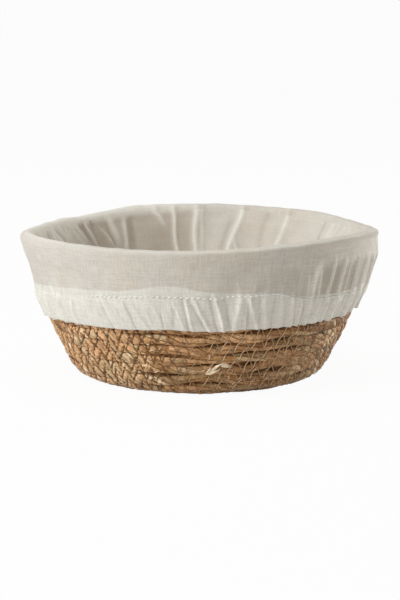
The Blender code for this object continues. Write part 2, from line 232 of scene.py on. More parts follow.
class BasketColours(PropertyGroup):
    """Colours of the grass, the cloth and the threads."""

    tan_leaf: colour_property("Tan leaf", "Colour of most of the grass", 0.55, 0.305, 0.145)
    golden_leaf: colour_property("Golden leaf", "Colour of the warmest grass", 0.66, 0.37, 0.17)
    olive_leaf: colour_property("Olive leaf", "Colour of the greener grass", 0.48, 0.32, 0.165)
    pale_leaf: colour_property("Pale leaf", "Colour of the bleached grass", 0.71, 0.50, 0.29)
    brown_leaf: colour_property("Brown leaf", "Colour of the darkest grass", 0.29, 0.145, 0.065)
    torn_leaf: colour_property("Torn leaf", "Colour of loose and torn ends of grass", 0.97, 0.80, 0.60)
    sewing_thread: colour_property(
        "Sewing thread", "Colour of the thread that sews the rows", 0.20, 0.115, 0.062)
    # Painted highlight: the paler colour the thread takes where the lamp on the left catches it.
    lit_thread: colour_property(
        "Faded thread", "Colour of that thread where it has faded", 0.78, 0.56, 0.36)
    linen: colour_property("Linen", "Colour of one layer of the cloth", 0.666, 0.624, 0.565)
    doubled_linen: colour_property(
        "Doubled linen", "Colour of the cloth where the hem doubles it", 0.803, 0.773, 0.708)
    white_thread: colour_property("White thread", "Colour of the hem's stitches", 0.97, 0.965, 0.94)
    floor: colour_property("Floor", "Colour of the floor and backdrop", 0.80, 0.80, 0.79)


class StageSetup(PropertyGroup):
    """The camera and the light."""

    camera_distance: FloatProperty(
        name="Camera distance", description="From the camera to the middle of the basket",
        default=1.2, unit="LENGTH")
    camera_elevation: FloatProperty(
        name="Camera elevation", description="Height of the camera above the horizon",
        default=math.radians(9.99), subtype="ANGLE")
    focal_length: FloatProperty(
        name="Focal length", description="Lens of the camera, in millimetres", default=102.5)
    key_power: FloatProperty(
        name="Key power", description="Power of the large lamp on the left, in watts", default=19.0)
    fill_power: FloatProperty(
        name="Fill power", description="Power of the weak lamp on the right, in watts", default=10.5)
    top_power: FloatProperty(
        name="Top power", description="Power of the large lamp above, in watts", default=4.5)
    sky_strength: FloatProperty(
        name="Sky strength", description="Light that comes from all round", default=0.445)


# Shader maths

class Value:
    """A socket whose arithmetic adds Math nodes to its material."""

    def __init__(self, finish, socket):
        self.finish = finish
        self.socket = socket

    def math(self, operation, *others):
        """Another operation of the Math node."""
        return self.finish.node("ShaderNodeMath", {"operation": operation}, [self, *others])

    def flipped(self, operation, other):
        """An operation whose first number is the other one."""
        return self.finish.node("ShaderNodeMath", {"operation": operation}, [other, self])

    def __add__(self, other):
        return self.math("ADD", other)

    def __sub__(self, other):
        return self.math("SUBTRACT", other)

    def __mul__(self, other):
        return self.math("MULTIPLY", other)

    def __truediv__(self, other):
        return self.math("DIVIDE", other)

    def __rsub__(self, other):
        return self.flipped("SUBTRACT", other)

    def __rtruediv__(self, other):
        return self.flipped("DIVIDE", other)

    __radd__ = __add__
    __rmul__ = __mul__

    def smooth(self, low, high):
        """0 below low, 1 above high and an even curve between them."""
        return self.finish.node(
            "ShaderNodeMapRange", {"interpolation_type": "SMOOTHSTEP"},
            {"Value": self, "From Min": low, "From Max": high})


class Finish:
    """A material that is built node by node."""

    def __init__(self, name):
        self.material = bpy.data.materials.new(name)
        self.material.use_nodes = True
        self.tree = self.material.node_tree
        self.shader = self.tree.nodes["Principled BSDF"]

    def node(self, kind, settings=None, inputs=None, output=0):
        """One node: its settings first, then its sockets by name or in order. Gives one output."""
        made = self.tree.nodes.new(kind)
        for name, setting in (settings or {}).items():
            if name == "stops":
                self.set_stops(made.color_ramp, setting)
            else:
                setattr(made, name, setting)
        pairs = inputs.items() if isinstance(inputs, dict) else enumerate(inputs or [])
        for key, given in pairs:
            self.feed(made.inputs[key], given)
        return Value(self, made.outputs[output])

    @staticmethod
    def set_stops(ramp, stops):
        """Gives a colour ramp its stops, each a position and a colour."""
        while len(ramp.elements) < len(stops):
            ramp.elements.new(1.0)
        for element, (position, colour) in zip(ramp.elements, stops):
            element.position = position
            element.color = (*colour, 1.0)

    def feed(self, socket, given):
        """Links a value to a socket, or sets the socket to a number or a colour."""
        if isinstance(given, Value):
            self.tree.links.new(given.socket, socket)
        elif socket.type == "RGBA" and len(given) == 3:
            socket.default_value = (*given, 1.0)
        else:
            socket.default_value = given

    def surface(self, **sockets):
        """Sets or links the shader's own sockets, named with spaces as underscores."""
        for name, given in sockets.items():
            self.feed(self.shader.inputs[name.replace("_", " ").title().replace("Ior", "IOR")], given)
        return self.material

    def attribute(self, name):
        """The named numbers that the piece's mesh keeps."""
        return self.node("ShaderNodeAttribute", {"attribute_name": name}, output="Fac")

    def uv(self):
        """The two coordinates of the piece's own map, in metres or turns."""
        place = self.node("ShaderNodeUVMap")
        return [self.node("ShaderNodeSeparateXYZ", None, [place], axis) for axis in (0, 1)]

    def place(self):
        """The place of each point in the object, in metres."""
        return self.node("ShaderNodeTexCoord", output="Object")

    def vector(self, x, y, z=0.0):
        """Three numbers as one vector."""
        return self.node("ShaderNodeCombineXYZ", None, [x, y, z])

    def noise(self, vector, scale, detail=2.0, roughness=0.5):
        """Smooth noise, about 0.5."""
        return self.node(
            "ShaderNodeTexNoise", None,
            {"Vector": vector, "Scale": scale, "Detail": detail, "Roughness": roughness})

    def grain(self, x, y, z, detail=2.0, roughness=0.5):
        """Smooth noise on coordinates that are already scaled, each in its own way."""
        return self.noise(self.vector(x, y, z), 1.0, detail, roughness)

    def dice(self, first, second):
        """A random number for each pair of numbers."""
        return self.node("ShaderNodeTexWhiteNoise", None, {"Vector": self.vector(first, second)})

    def bands(self, direction, scale, distortion):
        """Soft stripes across the piece."""
        return self.node(
            "ShaderNodeTexWave", {"wave_type": "BANDS", "bands_direction": direction},
            {"Vector": self.place(), "Scale": scale, "Distortion": distortion}, "Fac")

    def mix(self, share, first, second, blend="MIX"):
        """The first colour turned by this share into the second, or blended with it."""
        made = self.tree.nodes.new("ShaderNodeMix")
        made.data_type = "RGBA"
        made.blend_type = blend
        for name, given in (("Factor", share), ("A", first), ("B", second)):
            socket = next(s for s in made.inputs if s.name == name and s.enabled)
            self.feed(socket, given)
        return Value(self, next(s for s in made.outputs if s.enabled))

    def shaded(self, colour, *shades):
        """A colour times one shade, or times one shade each for its red, green and blue."""
        tint = self.node("ShaderNodeCombineColor", None, shades if len(shades) == 3 else shades * 3)
        return self.mix(1.0, colour, tint, "MULTIPLY")

    def bump(self, height, distance, strength):
        """A normal that follows small heights."""
        return self.node(
            "ShaderNodeBump", None, {"Height": height, "Distance": distance, "Strength": strength})


# The bowl and the rope

def meridian(along):
    """Radius, height and slope of the rope's middle line, that far along the bowl from the axis."""
    turned = np.clip(along - BASE_FLAT_RADIUS, 0.0, CORNER_LENGTH) / CORNER_RADIUS
    wall_slope = WALL_FOOT_ANGLE + np.maximum(along - CORNER_END, 0.0) / WALL_RADIUS
    radius = np.minimum(along, BASE_FLAT_RADIUS) + CORNER_RADIUS * np.sin(turned)
    radius = radius + WALL_RADIUS * (np.sin(wall_slope) - math.sin(WALL_FOOT_ANGLE))
    height = BASE_AXIS_HEIGHT + CORNER_RADIUS * (1.0 - np.cos(turned))
    height = height + WALL_RADIUS * (math.cos(WALL_FOOT_ANGLE) - np.cos(wall_slope))
    return radius, height, turned + wall_slope - WALL_FOOT_ANGLE


def rim_sway(azimuth):
    """How far the rim stands above or below its mean height."""
    return sum(c * np.cos(n * azimuth) + s * np.sin(n * azimuth) for n, c, s in RIM_WAVES)


def hem_row(azimuth):
    """Where the hem's lower fold is, along the meridian."""
    return RIM_ROW - ring_table(azimuth, HEM_EDGE) * MM


def ring_table(azimuth, table):
    """Values read off a table of azimuths in degrees, which closes on itself."""
    degrees, values = zip(*table)
    return np.interp(np.degrees(azimuth), degrees, values, period=360.0)


def about_axis(radius, azimuth, height):
    """Places round the basket's axis, one row of x, y and z for each."""
    return np.stack([radius * np.sin(azimuth), -radius * np.cos(azimuth), height], axis=-1)


def on_bowl(along, out, azimuth):
    """Places on the bowl, one row of x, y and z for each."""
    radius, height, slope = meridian(along)
    radius = radius + out * np.sin(slope)
    climb = np.maximum(along - BASE_FLAT_RADIUS, 0.0) / (RIM_ROW - BASE_FLAT_RADIUS)
    return about_axis(radius, azimuth, height - out * np.cos(slope) + rim_sway(azimuth) * climb)


def row_place(turn):
    """Distance along the meridian and thickness share of the rope after this many turns."""
    past = np.clip(turn - LAST_TURN + 1.0, 0.0, 1.0)
    share = 1.0 - past * (1.0 - ROPE_END_SHARE)
    return PITCH * turn - ROPE_DIAMETER * (1.0 - share) / 2.0, share


def waver(along, wavelength, seed):
    """A smooth random wave, mostly between -1 and 1, whose bumps are about a wavelength apart."""
    dice = np.random.default_rng(seed)
    lengths = wavelength * dice.uniform(0.6, 1.8, WAVER_SINES)
    starts = dice.uniform(0.0, math.tau, WAVER_SINES)
    return sum(np.sin(along * math.tau / n + s) for n, s in zip(lengths, starts)) / WAVER_SPREAD


def ring_waver(azimuth, waves, seed):
    """A smooth random wave that closes on itself round the basket."""
    dice = np.random.default_rng(seed)
    counts = np.unique(np.round(waves * np.array([0.5, 0.7, 0.85, 1.0, 1.2, 1.45])))
    starts = dice.uniform(0.0, math.tau, len(counts))
    return sum(np.sin(n * azimuth + s) for n, s in zip(counts, starts)) / WAVER_SPREAD


def even_step(value, low, high):
    """0 below low, 1 above high and an even curve between them."""
    share = np.clip((value - low) / (high - low), 0.0, 1.0)
    return share * share * (3.0 - 2.0 * share)


def band(value, *ends):
    """0, an even rise to 1 between the first two ends, and an even fall to 0 between the last two."""
    return even_step(value, *ends[:2]) * (1.0 - even_step(value, *ends[2:]))


def bell(offset, width):
    """1 where the offset is nothing, fading to 0 past the width on both sides."""
    return np.exp(-((offset / width) ** 2))


def facing(azimuth, degrees, low, high):
    """1 on the side that faces this many degrees and 0 away from it, with its step between two cosines."""
    return even_step(np.cos(azimuth - math.radians(degrees)), low, high)


def turned_from(azimuth, middle):
    """How far an azimuth is from another, the short way round."""
    return (azimuth - middle + math.pi) % math.tau - math.pi


def running_total(steps):
    """The sum of the steps before each point and after the last."""
    return np.concatenate([[0.0], np.cumsum(steps)])


def waist(below):
    """1 where the wall is drawn in between the rim and the hem, that far below the rim, and 0 elsewhere."""
    return band(below, 8.0 * MM, 16.0 * MM, 26.0 * MM, 36.0 * MM)


def squared(wave, power=SECTION_POWER):
    """A cosine or sine squared off, as the section of a rope pressed flat between its neighbours."""
    return np.sign(wave) * np.abs(wave) ** power


class Rope:
    """The run of the rope: its length, its turns and its twist, from the middle of the base to the rim.

    The thread's zigzag reaches THREAD_REACH pitches to each side of the groove between two rows.
    """

    THREAD_REACH = 0.64
    THREAD_GROOVE = 0.6 * MM
    HOLE_RADIUS = 0.9 * MM
    HOLE_DEPTH = 0.7 * MM
    DEEPEST_SUNK = 1.2 * MM
    ROUGHNESS = 0.15 * MM
    STRAY = 0.2 * MM
    LOOSE_DRIFT = 1.2 * MM
    HARD_DRIFT = 0.7 * MM
    RIGHT_BULGE = 1.5 * MM
    LEFT_BULGE = 0.8 * MM
    HEM_DENT_WIDTH = 3.5 * MM
    RIM_PRESS = 0.8 * MM
    ROW_HALF_SHARE = 0.52
    SLACK_AZIMUTH = 20.0
    SECTION_STEPS = 720
    TURN_STEPS = 240

    def __init__(self, sizes):
        self.sizes = sizes
        self.angles = np.linspace(-math.pi / 2.0, 1.5 * math.pi, self.SECTION_STEPS + 1)
        section = np.stack([squared(np.cos(self.angles)), squared(np.sin(self.angles))])
        girths = running_total(np.linalg.norm(np.diff(section, axis=1), axis=0))
        self.girths = girths / girths[-1]
        self.turns = np.linspace(FIRST_TURN, LAST_TURN, ROWS * self.TURN_STEPS + 1)
        along, _ = row_place(self.turns)
        middle = on_bowl(along, 0.0, math.tau * self.turns)
        steps = np.linalg.norm(np.diff(middle, axis=0), axis=1)
        self.runs = running_total(steps)
        slack = facing(math.tau * self.turns, self.SLACK_AZIMUTH, 0.58, 0.98)
        hard = 1.0 - 0.92 * slack + 0.25 * waver(self.runs, 120.0 * MM, seed=5)
        self.hards = np.clip(hard, 0.0, 1.0)
        lay = self.hards / sizes.tight_lay + (1.0 - self.hards) / sizes.loose_lay
        self.twists = running_total(lay[1:] * steps)
        uneven = 0.22 * waver(self.runs, 70.0 * MM, seed=29) + 0.3 * waver(self.runs, 16.0 * MM, seed=31)
        stitch = sizes.stitch_length * (1.0 + np.clip(uneven, -0.4, 0.5))
        self.stitches = running_total(steps / stitch[1:])

    def turn(self, run):
        """How many turns the rope has made, that far along it."""
        return np.interp(run, self.runs, self.turns)

    def run(self, turn):
        """How far along the rope it has made this many turns."""
        return np.interp(turn, self.turns, self.runs)

    def twist(self, run):
        """How many times the leaves have wound round the rope, that far along it."""
        return np.interp(run, self.runs, self.twists) + 0.06 * waver(run, 35.0 * MM, seed=7)

    def stitch(self, run):
        """How many zigzags of the thread have been sewn, that far along the rope."""
        return np.interp(run, self.runs, self.stitches)

    def hardness(self, run):
        """1 where the rope is twisted hard and 0 where it is hardly twisted."""
        return np.interp(run, self.runs, self.hards)

    def section_power(self, run):
        """How square the rope's section is: squarer where it is twisted hard."""
        return LOOSE_SECTION_POWER + (SECTION_POWER - LOOSE_SECTION_POWER) * self.hardness(run)

    def aged(self, run):
        """How much the grass is darkened and made uneven: where it is loose, and as painted shade on the
        right side, away from the lamp on the left.
        """
        azimuth = math.tau * self.turn(run)
        # Painted shade: the right side, away from the lamp on the left, and a little of the left side.
        worn_and_shaded = np.maximum(facing(azimuth, RIGHT, 0.4, 0.8), 0.22 * facing(azimuth, LEFT, 0.7, 0.9))
        return np.maximum(1.0 - self.hardness(run), worn_and_shaded)

    def bleached(self, run):
        """How pale the grass is: 0 away from the stretches whose grass is bleached."""
        turn = self.turn(run)
        above = (row_place(turn)[0] - BASE_FLAT_RADIUS) / MM
        pale = np.zeros_like(turn)
        for degrees, middle, reach, rise, share in BLEACHED_SPOTS:
            aside = np.degrees(turned_from(math.tau * turn, math.radians(degrees)))
            pale = np.maximum(pale, share * bell(aside, reach) * bell(above - middle, rise))
        return pale

    def wander(self, run):
        """How far the rope strays out of the wall, which bulges below the hem."""
        turn = self.turn(run)
        azimuth = math.tau * turn
        along, _ = row_place(turn)
        below = RIM_ROW - along
        right, left = (facing(azimuth, side, 0.4, 1.0) for side in (RIGHT, LEFT))
        bulge = self.RIGHT_BULGE * right + self.LEFT_BULGE * left
        bulge = bulge * band(below, 45.0 * MM, 55.0 * MM, 62.0 * MM, 92.0 * MM)
        past_hem = along - hem_row(azimuth) + 1.0 * MM
        dent = HEM_DENT * bell(past_hem, self.HEM_DENT_WIDTH) * facing(azimuth, 10.0, 0.6, 0.9)
        stray = self.STRAY * waver(run, 45.0 * MM, seed=19)
        return stray + bulge - dent - LEFT_WAIST * left * waist(below)

    def thread_across(self, run):
        """Where the thread is between the middle of the row at this run, 0, and that of the next, 1."""
        zigzag = np.abs(2.0 * (self.stitch(run) % 1.0) - 1.0)
        return 0.5 + self.THREAD_REACH * (2.0 * zigzag - 1.0)

    def thread_depth(self, run, up, turn):
        """1 under a stitch and 0 away from it, for places up from the middle of a row."""
        below = self.run(turn - 1.0)
        across = np.where(
            up > 0.0, up / PITCH - self.thread_across(run), 1.0 + up / PITCH - self.thread_across(below))
        leg = math.atan(2.0 * self.THREAD_REACH * PITCH / (self.sizes.stitch_length / 2.0))
        return bell(across * PITCH * math.cos(leg), self.THREAD_GROOVE)

    def pierced(self, run, up, turn):
        """1 where the thread goes into a row, and 0 away from it, for places up from the row's middle."""
        past_middle = (self.THREAD_REACH - 0.5) * PITCH
        below = self.run(turn - 1.0)
        holes = np.zeros_like(up)
        for share, height in ((self.stitch(run), -past_middle), (self.stitch(below) + 0.5, past_middle)):
            aside = (share % 1.0 - 0.5) * self.sizes.stitch_length
            hole = bell(aside, self.HOLE_RADIUS) * bell(up - height, self.HOLE_RADIUS)
            holes = np.maximum(holes, hole)
        return holes

    def skin(self, run, girth):
        """Along, out and sunk depth of places on the rope, whose girth starts below, outside first."""
        sizes = self.sizes
        angle = np.interp(girth, self.girths, self.angles)
        turn = self.turn(run)
        hard = self.hardness(run)
        along, share = row_place(turn)
        outside = even_step(np.cos(angle), -0.6, 0.1)
        half = sizes.rope_thickness / 2.0 * (1.0 + 0.05 * waver(run, 30.0 * MM, seed=11))
        half = half * (0.88 + 0.12 * outside)
        power = self.section_power(run)
        out = half * squared(np.cos(angle), power)
        up = (self.ROW_HALF_SHARE + 0.05 * hard) * PITCH * squared(np.sin(angle), power)

        leaf = sizes.leaves * (girth + self.twist(run))
        number = np.floor(leaf) % sizes.leaves
        edge = np.abs(2.0 * (leaf % 1.0) - 1.0)
        fat = np.sin(run * (700.0 + 61.0 * number) + 2.4 * number ** 2)
        swell = (1.0 - edge ** 3) * (1.0 + 0.3 * fat) - 0.75
        swell = swell * sizes.leaf_relief * (0.5 + 0.2 * hard)
        pull = sizes.stitch_pull * (0.12 + 0.83 * hard)
        holes = (0.3 + 0.7 * hard) * self.pierced(run, up, turn)
        swell = swell - pull * self.thread_depth(run, up, turn) - self.HOLE_DEPTH * holes
        swell = swell + self.ROUGHNESS * waver(run + 20.0 * MM * np.sin(angle), 6.0 * MM, seed=17)
        sunk = np.clip(-swell / self.DEEPEST_SUNK + 0.8 * holes, 0.0, 1.0)
        swell = swell * (0.35 + 0.65 * outside)

        drift = self.LOOSE_DRIFT + (self.HARD_DRIFT - self.LOOSE_DRIFT) * hard
        drift = drift * waver(run, 55.0 * MM, seed=23)
        drift = drift * even_step(RIM_ROW - along, 0.0, 2.0 * PITCH) * even_step(np.cos(angle), 0.0, 0.5)
        pressed = self.RIM_PRESS * even_step(turn, LAST_TURN - 1.3, LAST_TURN - 0.9)
        along = along + share * (up + 0.7 * swell * np.sin(angle) + drift) - pressed
        return along, share * (out + swell * np.cos(angle) + self.wander(run) * outside), sunk

    def face(self, run, across):
        """How far out the rope's face is, that far from the middle of a row towards that of the next."""
        near = across < 0.5
        row = np.where(near, run, self.run(self.turn(run) + 1.0))
        up = np.clip(np.where(near, across, across - 1.0) / self.ROW_HALF_SHARE, -0.97, 0.97)
        angle = np.arcsin(squared(up, 1.0 / self.section_power(row)))
        return self.skin(row, np.interp(angle, self.angles, self.girths))[1]


# Making pieces

@contextmanager
def shaping(mesh):
    """Opens a mesh for bmesh operators, and keeps what they made of it."""
    work = bmesh.new()
    work.from_mesh(mesh)
    yield work
    work.to_mesh(mesh)
    work.free()


def show(name, shown):
    """Puts a mesh, a curve, a lamp or a camera into the scene as an object."""
    item = bpy.data.objects.new(name, shown)
    bpy.context.scene.collection.objects.link(item)
    return item


def keep_values(mesh, values):
    """Stores named numbers, one for each vertex, which the finishes read."""
    for key, value in values.items():
        mesh.attributes.new(key, "FLOAT", "POINT").data.foreach_set("value", value)


def bent_grid(name, columns, rows, bend):
    """A grid of quads bent to a shape, whose edges are joined where they meet.

    bend takes the shares of each point across and along the grid, and gives its places, its map
    coordinates and a dictionary of named values.
    """
    mesh = bpy.data.meshes.new(name)
    with shaping(mesh) as grid:
        bmesh.ops.create_grid(grid, x_segments=columns, y_segments=rows, size=0.5)
    flat = np.empty(len(mesh.vertices) * 3)
    mesh.vertices.foreach_get("co", flat)
    shares = np.clip(flat.reshape(-1, 3)[:, :2] + 0.5, 0.0, 1.0)
    places, chart, values = bend(shares[:, 0], shares[:, 1])
    mesh.vertices.foreach_set("co", places.ravel())
    corners = np.empty(len(mesh.loops), dtype=np.int32)
    mesh.loops.foreach_get("vertex_index", corners)
    layer = mesh.uv_layers.new(name="chart")
    layer.data.foreach_set("uv", np.stack(chart, axis=-1)[corners].ravel())
    keep_values(mesh, values)
    with shaping(mesh) as work:
        edge = [v for v in work.verts if v.is_boundary]
        bmesh.ops.remove_doubles(work, verts=edge, dist=SEAM_REACH)
    mesh.shade_smooth()
    return mesh


def face_outwards(mesh, fill_ends=False):
    """Turns every face of a tube outwards, and closes its ends if asked."""
    with shaping(mesh) as work:
        if fill_ends:
            bmesh.ops.holes_fill(work, edges=[e for e in work.edges if e.is_boundary])
        bmesh.ops.recalc_face_normals(work, faces=work.faces)


def strands(name, lines, thickness, shares=None, sides=4, values=None):
    """A mesh of thin tubes, one along each line of places. Shares thin each tube point by point.

    Values are named numbers, one for each place of a single line. The tube's caps come first in its mesh.
    """
    curve = bpy.data.curves.new(name, "CURVE")
    curve.dimensions = "3D"
    curve.bevel_depth = thickness / 2.0
    curve.bevel_resolution = (sides - 4) // 2
    curve.use_fill_caps = True
    for places in lines:
        line = curve.splines.new("POLY")
        line.points.add(len(places) - 1)
        line.points.foreach_set("co", np.column_stack([places, np.ones(len(places))]).ravel())
        line.points.foreach_set("radius", np.ones(len(places)) if shares is None else shares)
    holder = show(name, curve)
    graph = bpy.context.evaluated_depsgraph_get()
    mesh = bpy.data.meshes.new_from_object(holder.evaluated_get(graph))
    bpy.data.objects.remove(holder)
    bpy.data.curves.remove(curve)
    mesh.name = name
    keep_values(mesh, {
        key: np.repeat(np.concatenate([value[-1:], value[:1], value]), sides)
        for key, value in (values or {}).items()})
    mesh.shade_smooth()
    return mesh


def add_piece(name, mesh, material, body, slot, *nodes):
    """Shows a finished piece, hangs it on the body that carries it, and hides the solids it stands for."""
    mesh.materials.clear()
    mesh.materials.append(material)
    piece = show(name, mesh)
    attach(piece, body)
    if nodes:
        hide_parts(*nodes)
    return piece


# Finishes

def seagrass_finish(sizes, colours):
    """Twisted grass: leaves in lengths of their own tone and fibres along them, with painted shade in the
    grooves, along the leaf edges, under the thread and on the right side, and pale frays with painted
    glints.
    """
    finish = Finish("seagrass")
    run, around = finish.uv()
    loose, aged, pale, sunk = (finish.attribute(name) for name in ("loose", "aged", "bleached", "sunk"))
    leaf = (around + finish.attribute("lay")) * sizes.leaves
    number = leaf.math("FLOOR").math("FLOORED_MODULO", sizes.leaves)
    from_edge = 1.0 - (leaf.math("FRACT") * 2.0 - 1.0).math("ABSOLUTE")
    stagger = finish.dice(number, 3.7)
    leaf_length = (run / LEAF_LENGTH + stagger * 5.0).math("FLOOR")
    toss = finish.dice(number, leaf_length)
    gap = finish.dice(number + 7.3, leaf_length)
    knob = finish.dice(number + 3.1, (run / KNOB_LENGTH + stagger * 3.0).math("FLOOR"))
    patch = finish.grain(run * 9.0, 0.0, 2.0, 3.0, 0.6)
    fibres = finish.grain(run * 160.0, leaf * 9.0, leaf_length, 5.0, 0.75)
    mottle = finish.noise(finish.place(), 500.0, 3.0, 0.65)

    tone = toss * (0.3 + 0.55 * loose) + knob * (0.8 - 0.8 * loose) + patch * 0.7 - 0.36 + 0.08 * loose
    colour = finish.node("ShaderNodeValToRGB", {"stops": [
        (0.0, colours.brown_leaf),
        (0.22, colours.tan_leaf),
        (0.45, colours.golden_leaf),
        (0.62, colours.tan_leaf),
        (0.76, colours.olive_leaf),
        (0.92, colours.pale_leaf),
    ]}, [tone])
    bleached = finish.mix(toss.smooth(0.2, 0.9), colours.olive_leaf, colours.pale_leaf)
    colour = finish.mix(pale, colour, bleached)

    shade = ((3.7 + 0.8 * loose) * fibres - (0.80 + 0.45 * loose)) * (0.40 + 1.25 * mottle)
    shade = shade.math("MAXIMUM", 0.10) * (1.0 + 0.8 * aged * (gap - 0.5))
    shade = shade * (1.0 + aged * (1.3 * (1.0 - loose) * (knob - 0.5) + 0.7 * pale))
    # Painted shade in the crevices along the leaf edges, where the leaves part.
    edge = (0.40 + 0.42 * aged) * (1.0 - from_edge.smooth(0.0, 0.06 + 0.36 * gap))
    # Painted shade in the grooves between the rows, broken up along the rope.
    groove = ((around * math.tau).math("COSINE").math("ABSOLUTE") + 0.5 * mottle).smooth(0.90, 1.15)
    groove = groove * finish.grain(run * 45.0, 0.0, 6.0).smooth(0.30, 0.60)
    # These painted shades darken the grass, and the loose grass and the right side are darkened as a whole:
    # painted shade.
    shade = shade * (1.0 - edge) * (1.0 - (0.50 + 0.42 * aged) * groove) * (1.0 - 0.435 * aged)
    specks = finish.noise(finish.place(), 900.0, 1.0).smooth(0.30, 0.42)
    # Painted shade where the thread pulls the rope in and in its holes; the specks are the grass's own.
    shade = shade * (0.72 + 0.28 * specks) * (1.38 - 1.25 * sunk) * (0.955 + 0.045 * loose)
    colour = finish.shaded(colour, *(shade.math("POWER", power) for power in (0.85, 1.08, 1.45)))
    # Pale frays of the grass with painted glints, on the loose grass and on the right side.
    frays_and_glints = finish.grain(run * 150.0, leaf * 1.6, 8.0).smooth(0.60, 0.70)
    return finish.surface(
        base_color=finish.mix(0.45 * aged * frays_and_glints, colour, colours.pale_leaf),
        roughness=0.64 - 0.25 * fibres,
        normal=finish.bump(fibres * 0.7 + mottle * 0.3, 0.5 * MM, 0.7),
        specular_ior_level=0.2,
    )


def thread_finish(name, colour, roughness, shine, lit_colour=None):
    """A twisted thread: fine bands along it, some wear in its colour, and, given a lit colour, a painted
    highlight: paler on the right and on its rising legs.
    """
    finish = Finish(name)
    if lit_colour:
        # Painted highlight: the thread takes the lit colour on the right side, and more on its rising legs,
        # which face the lamp on the left; less of it at the far right.
        side = finish.node("ShaderNodeSeparateXYZ", None, [finish.place()])
        share = side.smooth(-35.0 * MM, 25.0 * MM) * (0.5 + 0.5 * finish.attribute("rising"))
        share = share * (1.0 - 0.7 * side.smooth(55.0 * MM, 95.0 * MM))
        colour = finish.mix(share, colour, lit_colour)
    wear = finish.noise(finish.place(), 400.0, 2.0)
    return finish.surface(
        base_color=finish.shaded(colour, 0.75 + 0.5 * wear),
        roughness=roughness + 0.1 * wear,
        normal=finish.bump(finish.bands("DIAGONAL", 900.0, 1.0), 0.15 * MM, 0.4),
        specular_ior_level=shine,
        specular_tint=(1.0, 0.86, 0.70, 1.0),
    )


def linen_finish(colours, name="linen", layered=True):
    """Plain woven cloth: uneven yarns both ways, paler where the hem doubles it and browner where the rope
    shows through, with painted light, painted highlights and painted shade from the liner's masks.
    """
    finish = Finish(name)
    across, along = finish.uv()
    weft_slub = finish.grain(across * 90.0, along * 800.0, 1.0, 2.0, 0.6)
    warp_slub = finish.grain(across * 800.0, along * 90.0, 5.0, 2.0, 0.6)
    nap = finish.grain(across * 900.0, along * 900.0, 3.0, 3.0, 0.7)
    blotch = finish.grain(across * 70.0, along * 70.0, 7.0, 3.0, 0.6)
    flecks = finish.grain(across * 300.0, along * 300.0, 9.0, 0.0).smooth(0.86, 0.90)
    yarns = math.tau / YARN_PAIR
    weave = (across * yarns).math("SINE") * (along * yarns).math("SINE")
    slubs = 0.34 * weft_slub + 0.36 * warp_slub - 0.35
    if layered:
        above_turning = finish.attribute("above_turning")
        slubs = slubs * (1.0 - 0.6 * above_turning.smooth(40.0 * MM, 48.0 * MM))
    else:
        slubs = slubs * 0.4
    shade = (0.71 + slubs + 0.42 * nap + 0.16 * blotch + 0.03 * weave) * (1.0 - 0.3 * flecks)
    linen = Vector(colours.linen)
    cloud = finish.noise(finish.place(), 26.0, 2.0).smooth(0.35, 0.65)
    cloth = finish.mix(cloud, linen, linen * Vector((1.0, 0.965, 0.93)))
    if layered:
        # Paler where the cloth stands off the rope, which then shows through less, with painted highlights
        # on ridges and the rim and painted light on shaded sides added in; the second mask is painted shade
        # in the folds' valleys.
        standing, hollow = finish.attribute("standing"), finish.attribute("hollow")
        single = above_turning.smooth(-0.7 * MM, 0.7 * MM)
        clear = single * (1.0 - 0.85 * standing)
        rows = (finish.attribute("row") * (math.tau / PITCH)).math("COSINE")
        creases = finish.grain(across * 420.0, along * 35.0, 11.0)
        # Faint rows of rope show through the single layer; painted shade along the side seam's crease.
        shade = shade * (1.0 - 0.01 * clear * (rows + 1.0)) * (1.0 - 0.28 * finish.attribute("seam"))
        # Painted light and shade in soft streaks down the doubled hem, for its small folds.
        shade = shade * (0.93 + 0.14 * creases + 0.07 * single - 0.14 * single * creases)
        # Browner where the rope shows through the tight cloth, with painted shade on the cuff's front-right
        # and inside the back-left wall; painted shade in the folds' valleys.
        shade_and_show_through = linen * Vector((0.80, 0.755, 0.71))
        for share in (finish.attribute("pressed"), hollow):
            cloth = finish.mix(share, cloth, shade_and_show_through)
        doubled = Vector(colours.doubled_linen)
        # Painted highlight on the doubled hem's ridges, and painted shade in its valleys.
        hem = finish.mix(standing, 0.97 * doubled, 1.05 * doubled)
        hem = finish.mix(hollow, hem, doubled * Vector((0.81, 0.785, 0.75)))
        cloth = finish.mix(clear, hem, cloth)
    return finish.surface(
        base_color=finish.shaded(cloth, shade),
        roughness=0.95 - 0.1 * weft_slub,
        normal=finish.bump(0.5 * weave + 0.9 * weft_slub + 0.9 * warp_slub, 0.18 * MM, 0.45),
        specular_ior_level=0.2,
        sheen_weight=0.12,
        sheen_roughness=0.6,
    )


def elastic_finish(colours):
    """Braided elastic: ribs along the band, and fine crossings between them."""
    finish = Finish("elastic")
    ribs = finish.bands("Z", 260.0, 0.6)
    crossings = finish.noise(finish.place(), 900.0, 2.0)
    return finish.surface(
        base_color=finish.shaded(colours.white_thread, 0.8 + 0.15 * ribs + 0.1 * crossings),
        roughness=0.8 - 0.1 * crossings,
        normal=finish.bump(ribs, 0.3 * MM, 0.5),
    )


# Cloth

